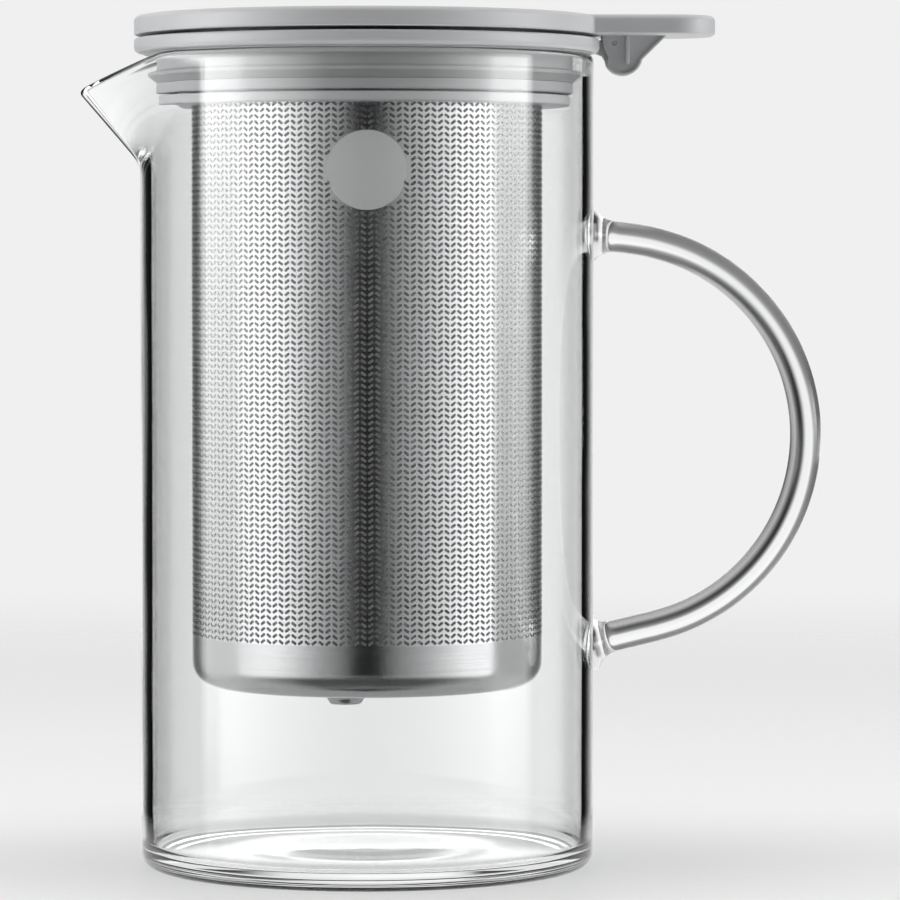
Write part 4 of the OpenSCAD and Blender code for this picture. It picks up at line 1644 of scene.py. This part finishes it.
    @staticmethod
    def _levels(graph: Graph, place: bpy.types.NodeSocket, levels: Levels,
                span: float = 180.0) -> bpy.types.NodeSocket:
        """Light that depends on a direction.

        Args:
            graph: The world's graph.
            place: The direction from 0 to 1, with 0.5 in the middle of its span.
            levels: Directions in degrees, and how bright it is there.
            span: How many degrees the directions go each way from the middle.

        Returns:
            The light as a colour.
        """
        peak = max(level for _, level in levels)
        shares = graph.ramp(place, [
            ((turn + span) / (2 * span), (level / peak,) * 3) for turn, level in levels])
        light = graph.node("ShaderNodeVectorMath", {0: shares, 1: (peak,) * 3}, operation="MULTIPLY")
        return light.outputs["Vector"]

    def _mirrored(self, graph: Graph, ray: Ray) -> bpy.types.NodeSocket:
        """The light on mirrored rays: soft boxes with dark gaps, other ones on the steel behind glass."""
        z, turned = ray.z, graph.math("ABSOLUTE", ray.turn)
        high = graph.remap(z, 0.0, 1.0, *self.ceiling_z)
        low = graph.remap(z, 0.0, 1.0, *self.table_z)
        side = graph.remap(turned, self.under, self.under_aside, *map(math.radians, self.under_turn))
        steel = graph.blend(low, self._levels(graph, ray.place, self.mirror), side)
        again = graph.math("MULTIPLY", graph.math("GREATER_THAN", ray.mirrored, MIRRORED_TWICE),
                           graph.math("LESS_THAN", ray.passed, PAST_TWO_WALLS))
        steel = graph.node("ShaderNodeVectorMath", {
            0: steel, "Scale": graph.remap(again, 1.0, self.basket_gain)}, operation="SCALE")
        front = graph.math("LESS_THAN", turned, math.radians(self.veil_front))
        fall = graph.remap(z, self.veil_low, 1.0, *self.veil_low_z)
        fall = graph.math("MULTIPLY", fall, graph.remap(z, 1.0, self.veil_top, *self.veil_top_z))
        fall = graph.math("MAXIMUM", fall, graph.math("SUBTRACT", 1.0, front))
        boxes = graph.node("ShaderNodeVectorMath", {
            0: self._levels(graph, ray.place, self.veil), "Scale": fall}, operation="SCALE")
        glass = graph.blend(low, boxes.outputs["Vector"], grey(self.table))
        behind = graph.math("GREATER_THAN", ray.passed, PAST_ONE_WALL)
        light = graph.blend(behind, glass, steel.outputs["Vector"])
        light = graph.blend(high, light, grey(self.ceiling))
        inside = graph.math("MULTIPLY", graph.math("GREATER_THAN", ray.passed, ENTERED),
                            graph.math("LESS_THAN", ray.passed, PAST_ONE_WALL))
        lifted = graph.math("MULTIPLY", inside, graph.remap(z, 0.0, 1.0, *self.foot_z))
        return graph.blend(lifted, light, grey(self.foot))

    def _bent(self, graph: Graph, ray: Ray) -> bpy.types.NodeSocket:
        """The light on rays bent by glass: dark cards for the jug, one bright window for the rod handle."""
        steep = graph.remap(graph.math("ABSOLUTE", ray.z), 0.0, 1.0, *self.steep_z)
        up = graph.math("GREATER_THAN", ray.z, 0.0)
        steep_light = graph.blend(up, grey(self.steep_down), grey(self.steep_up))
        jug = graph.blend(steep, self._levels(graph, ray.place, self.through), steep_light)
        near = graph.node("ShaderNodeVectorMath", {0: ray.way, 1: self.window}, operation="DOT_PRODUCT")
        off = graph.math("ARCCOSINE", near.outputs["Value"])
        off = graph.remap(off, 0.5, 1.0, 0.0, math.pi / 2)
        right = graph.math("SUBTRACT", ray.x, graph.math("MULTIPLY", ray.z, self.window_lean))
        right = graph.remap(right, 0.0, 1.0, *self.window_x)
        rod = graph.blend(right, self._levels(graph, off, self.window_left, 90.0),
                          self._levels(graph, off, self.window_right, 90.0))
        once = graph.math("LESS_THAN", ray.passed, PAST_ONE_WALL)
        aside = graph.math("SUBTRACT", math.pi, graph.math("ABSOLUTE", ray.turn))
        ahead = graph.math("LESS_THAN", aside, math.radians(self.rod_aside))
        return graph.blend(graph.math("MULTIPLY", once, ahead), jug, rod)

    def world(self) -> None:
        """A white backdrop for the eye, and other surroundings for what mirrors or bends the light."""
        world = bpy.data.worlds.new("studio")
        bpy.context.scene.world = world
        world.use_nodes = True
        graph = Graph(world.node_tree)
        path = graph.node("ShaderNodeLightPath").outputs
        ray = Ray.read(graph, path)
        colour = graph.blend(path["Is Camera Ray"], grey(self.fill), grey(self.backdrop))
        colour = graph.blend(path["Is Transmission Ray"], colour, self._bent(graph, ray))
        glossy = graph.math("GREATER_THAN", ray.mirrored, MIRRORED)
        colour = graph.blend(glossy, colour, self._mirrored(graph, ray))
        surround = graph.node("ShaderNodeBackground", {"Color": colour, "Strength": 1.0})
        graph.node("ShaderNodeOutputWorld", {"Surface": surround.outputs["Background"]})

    def build(self) -> None:
        """Sets the whole stage."""
        self.camera()
        self.floor()
        self.world()
        for lamp in self.lamps:
            self.lamp(*lamp)
        bpy.context.scene.view_settings.view_transform = "Standard"


def main() -> None:
    """Builds the stage and every piece."""
    logging.basicConfig(level=logging.INFO, format="%(message)s")
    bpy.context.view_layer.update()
    finishes = Finishes.make()
    Studio().build()
    GlassJug().build(finishes)
    CollarSet().build(finishes)
    LidSet().build(finishes)
    Infuser().build(finishes)


if __name__ == "__main__":
    main()
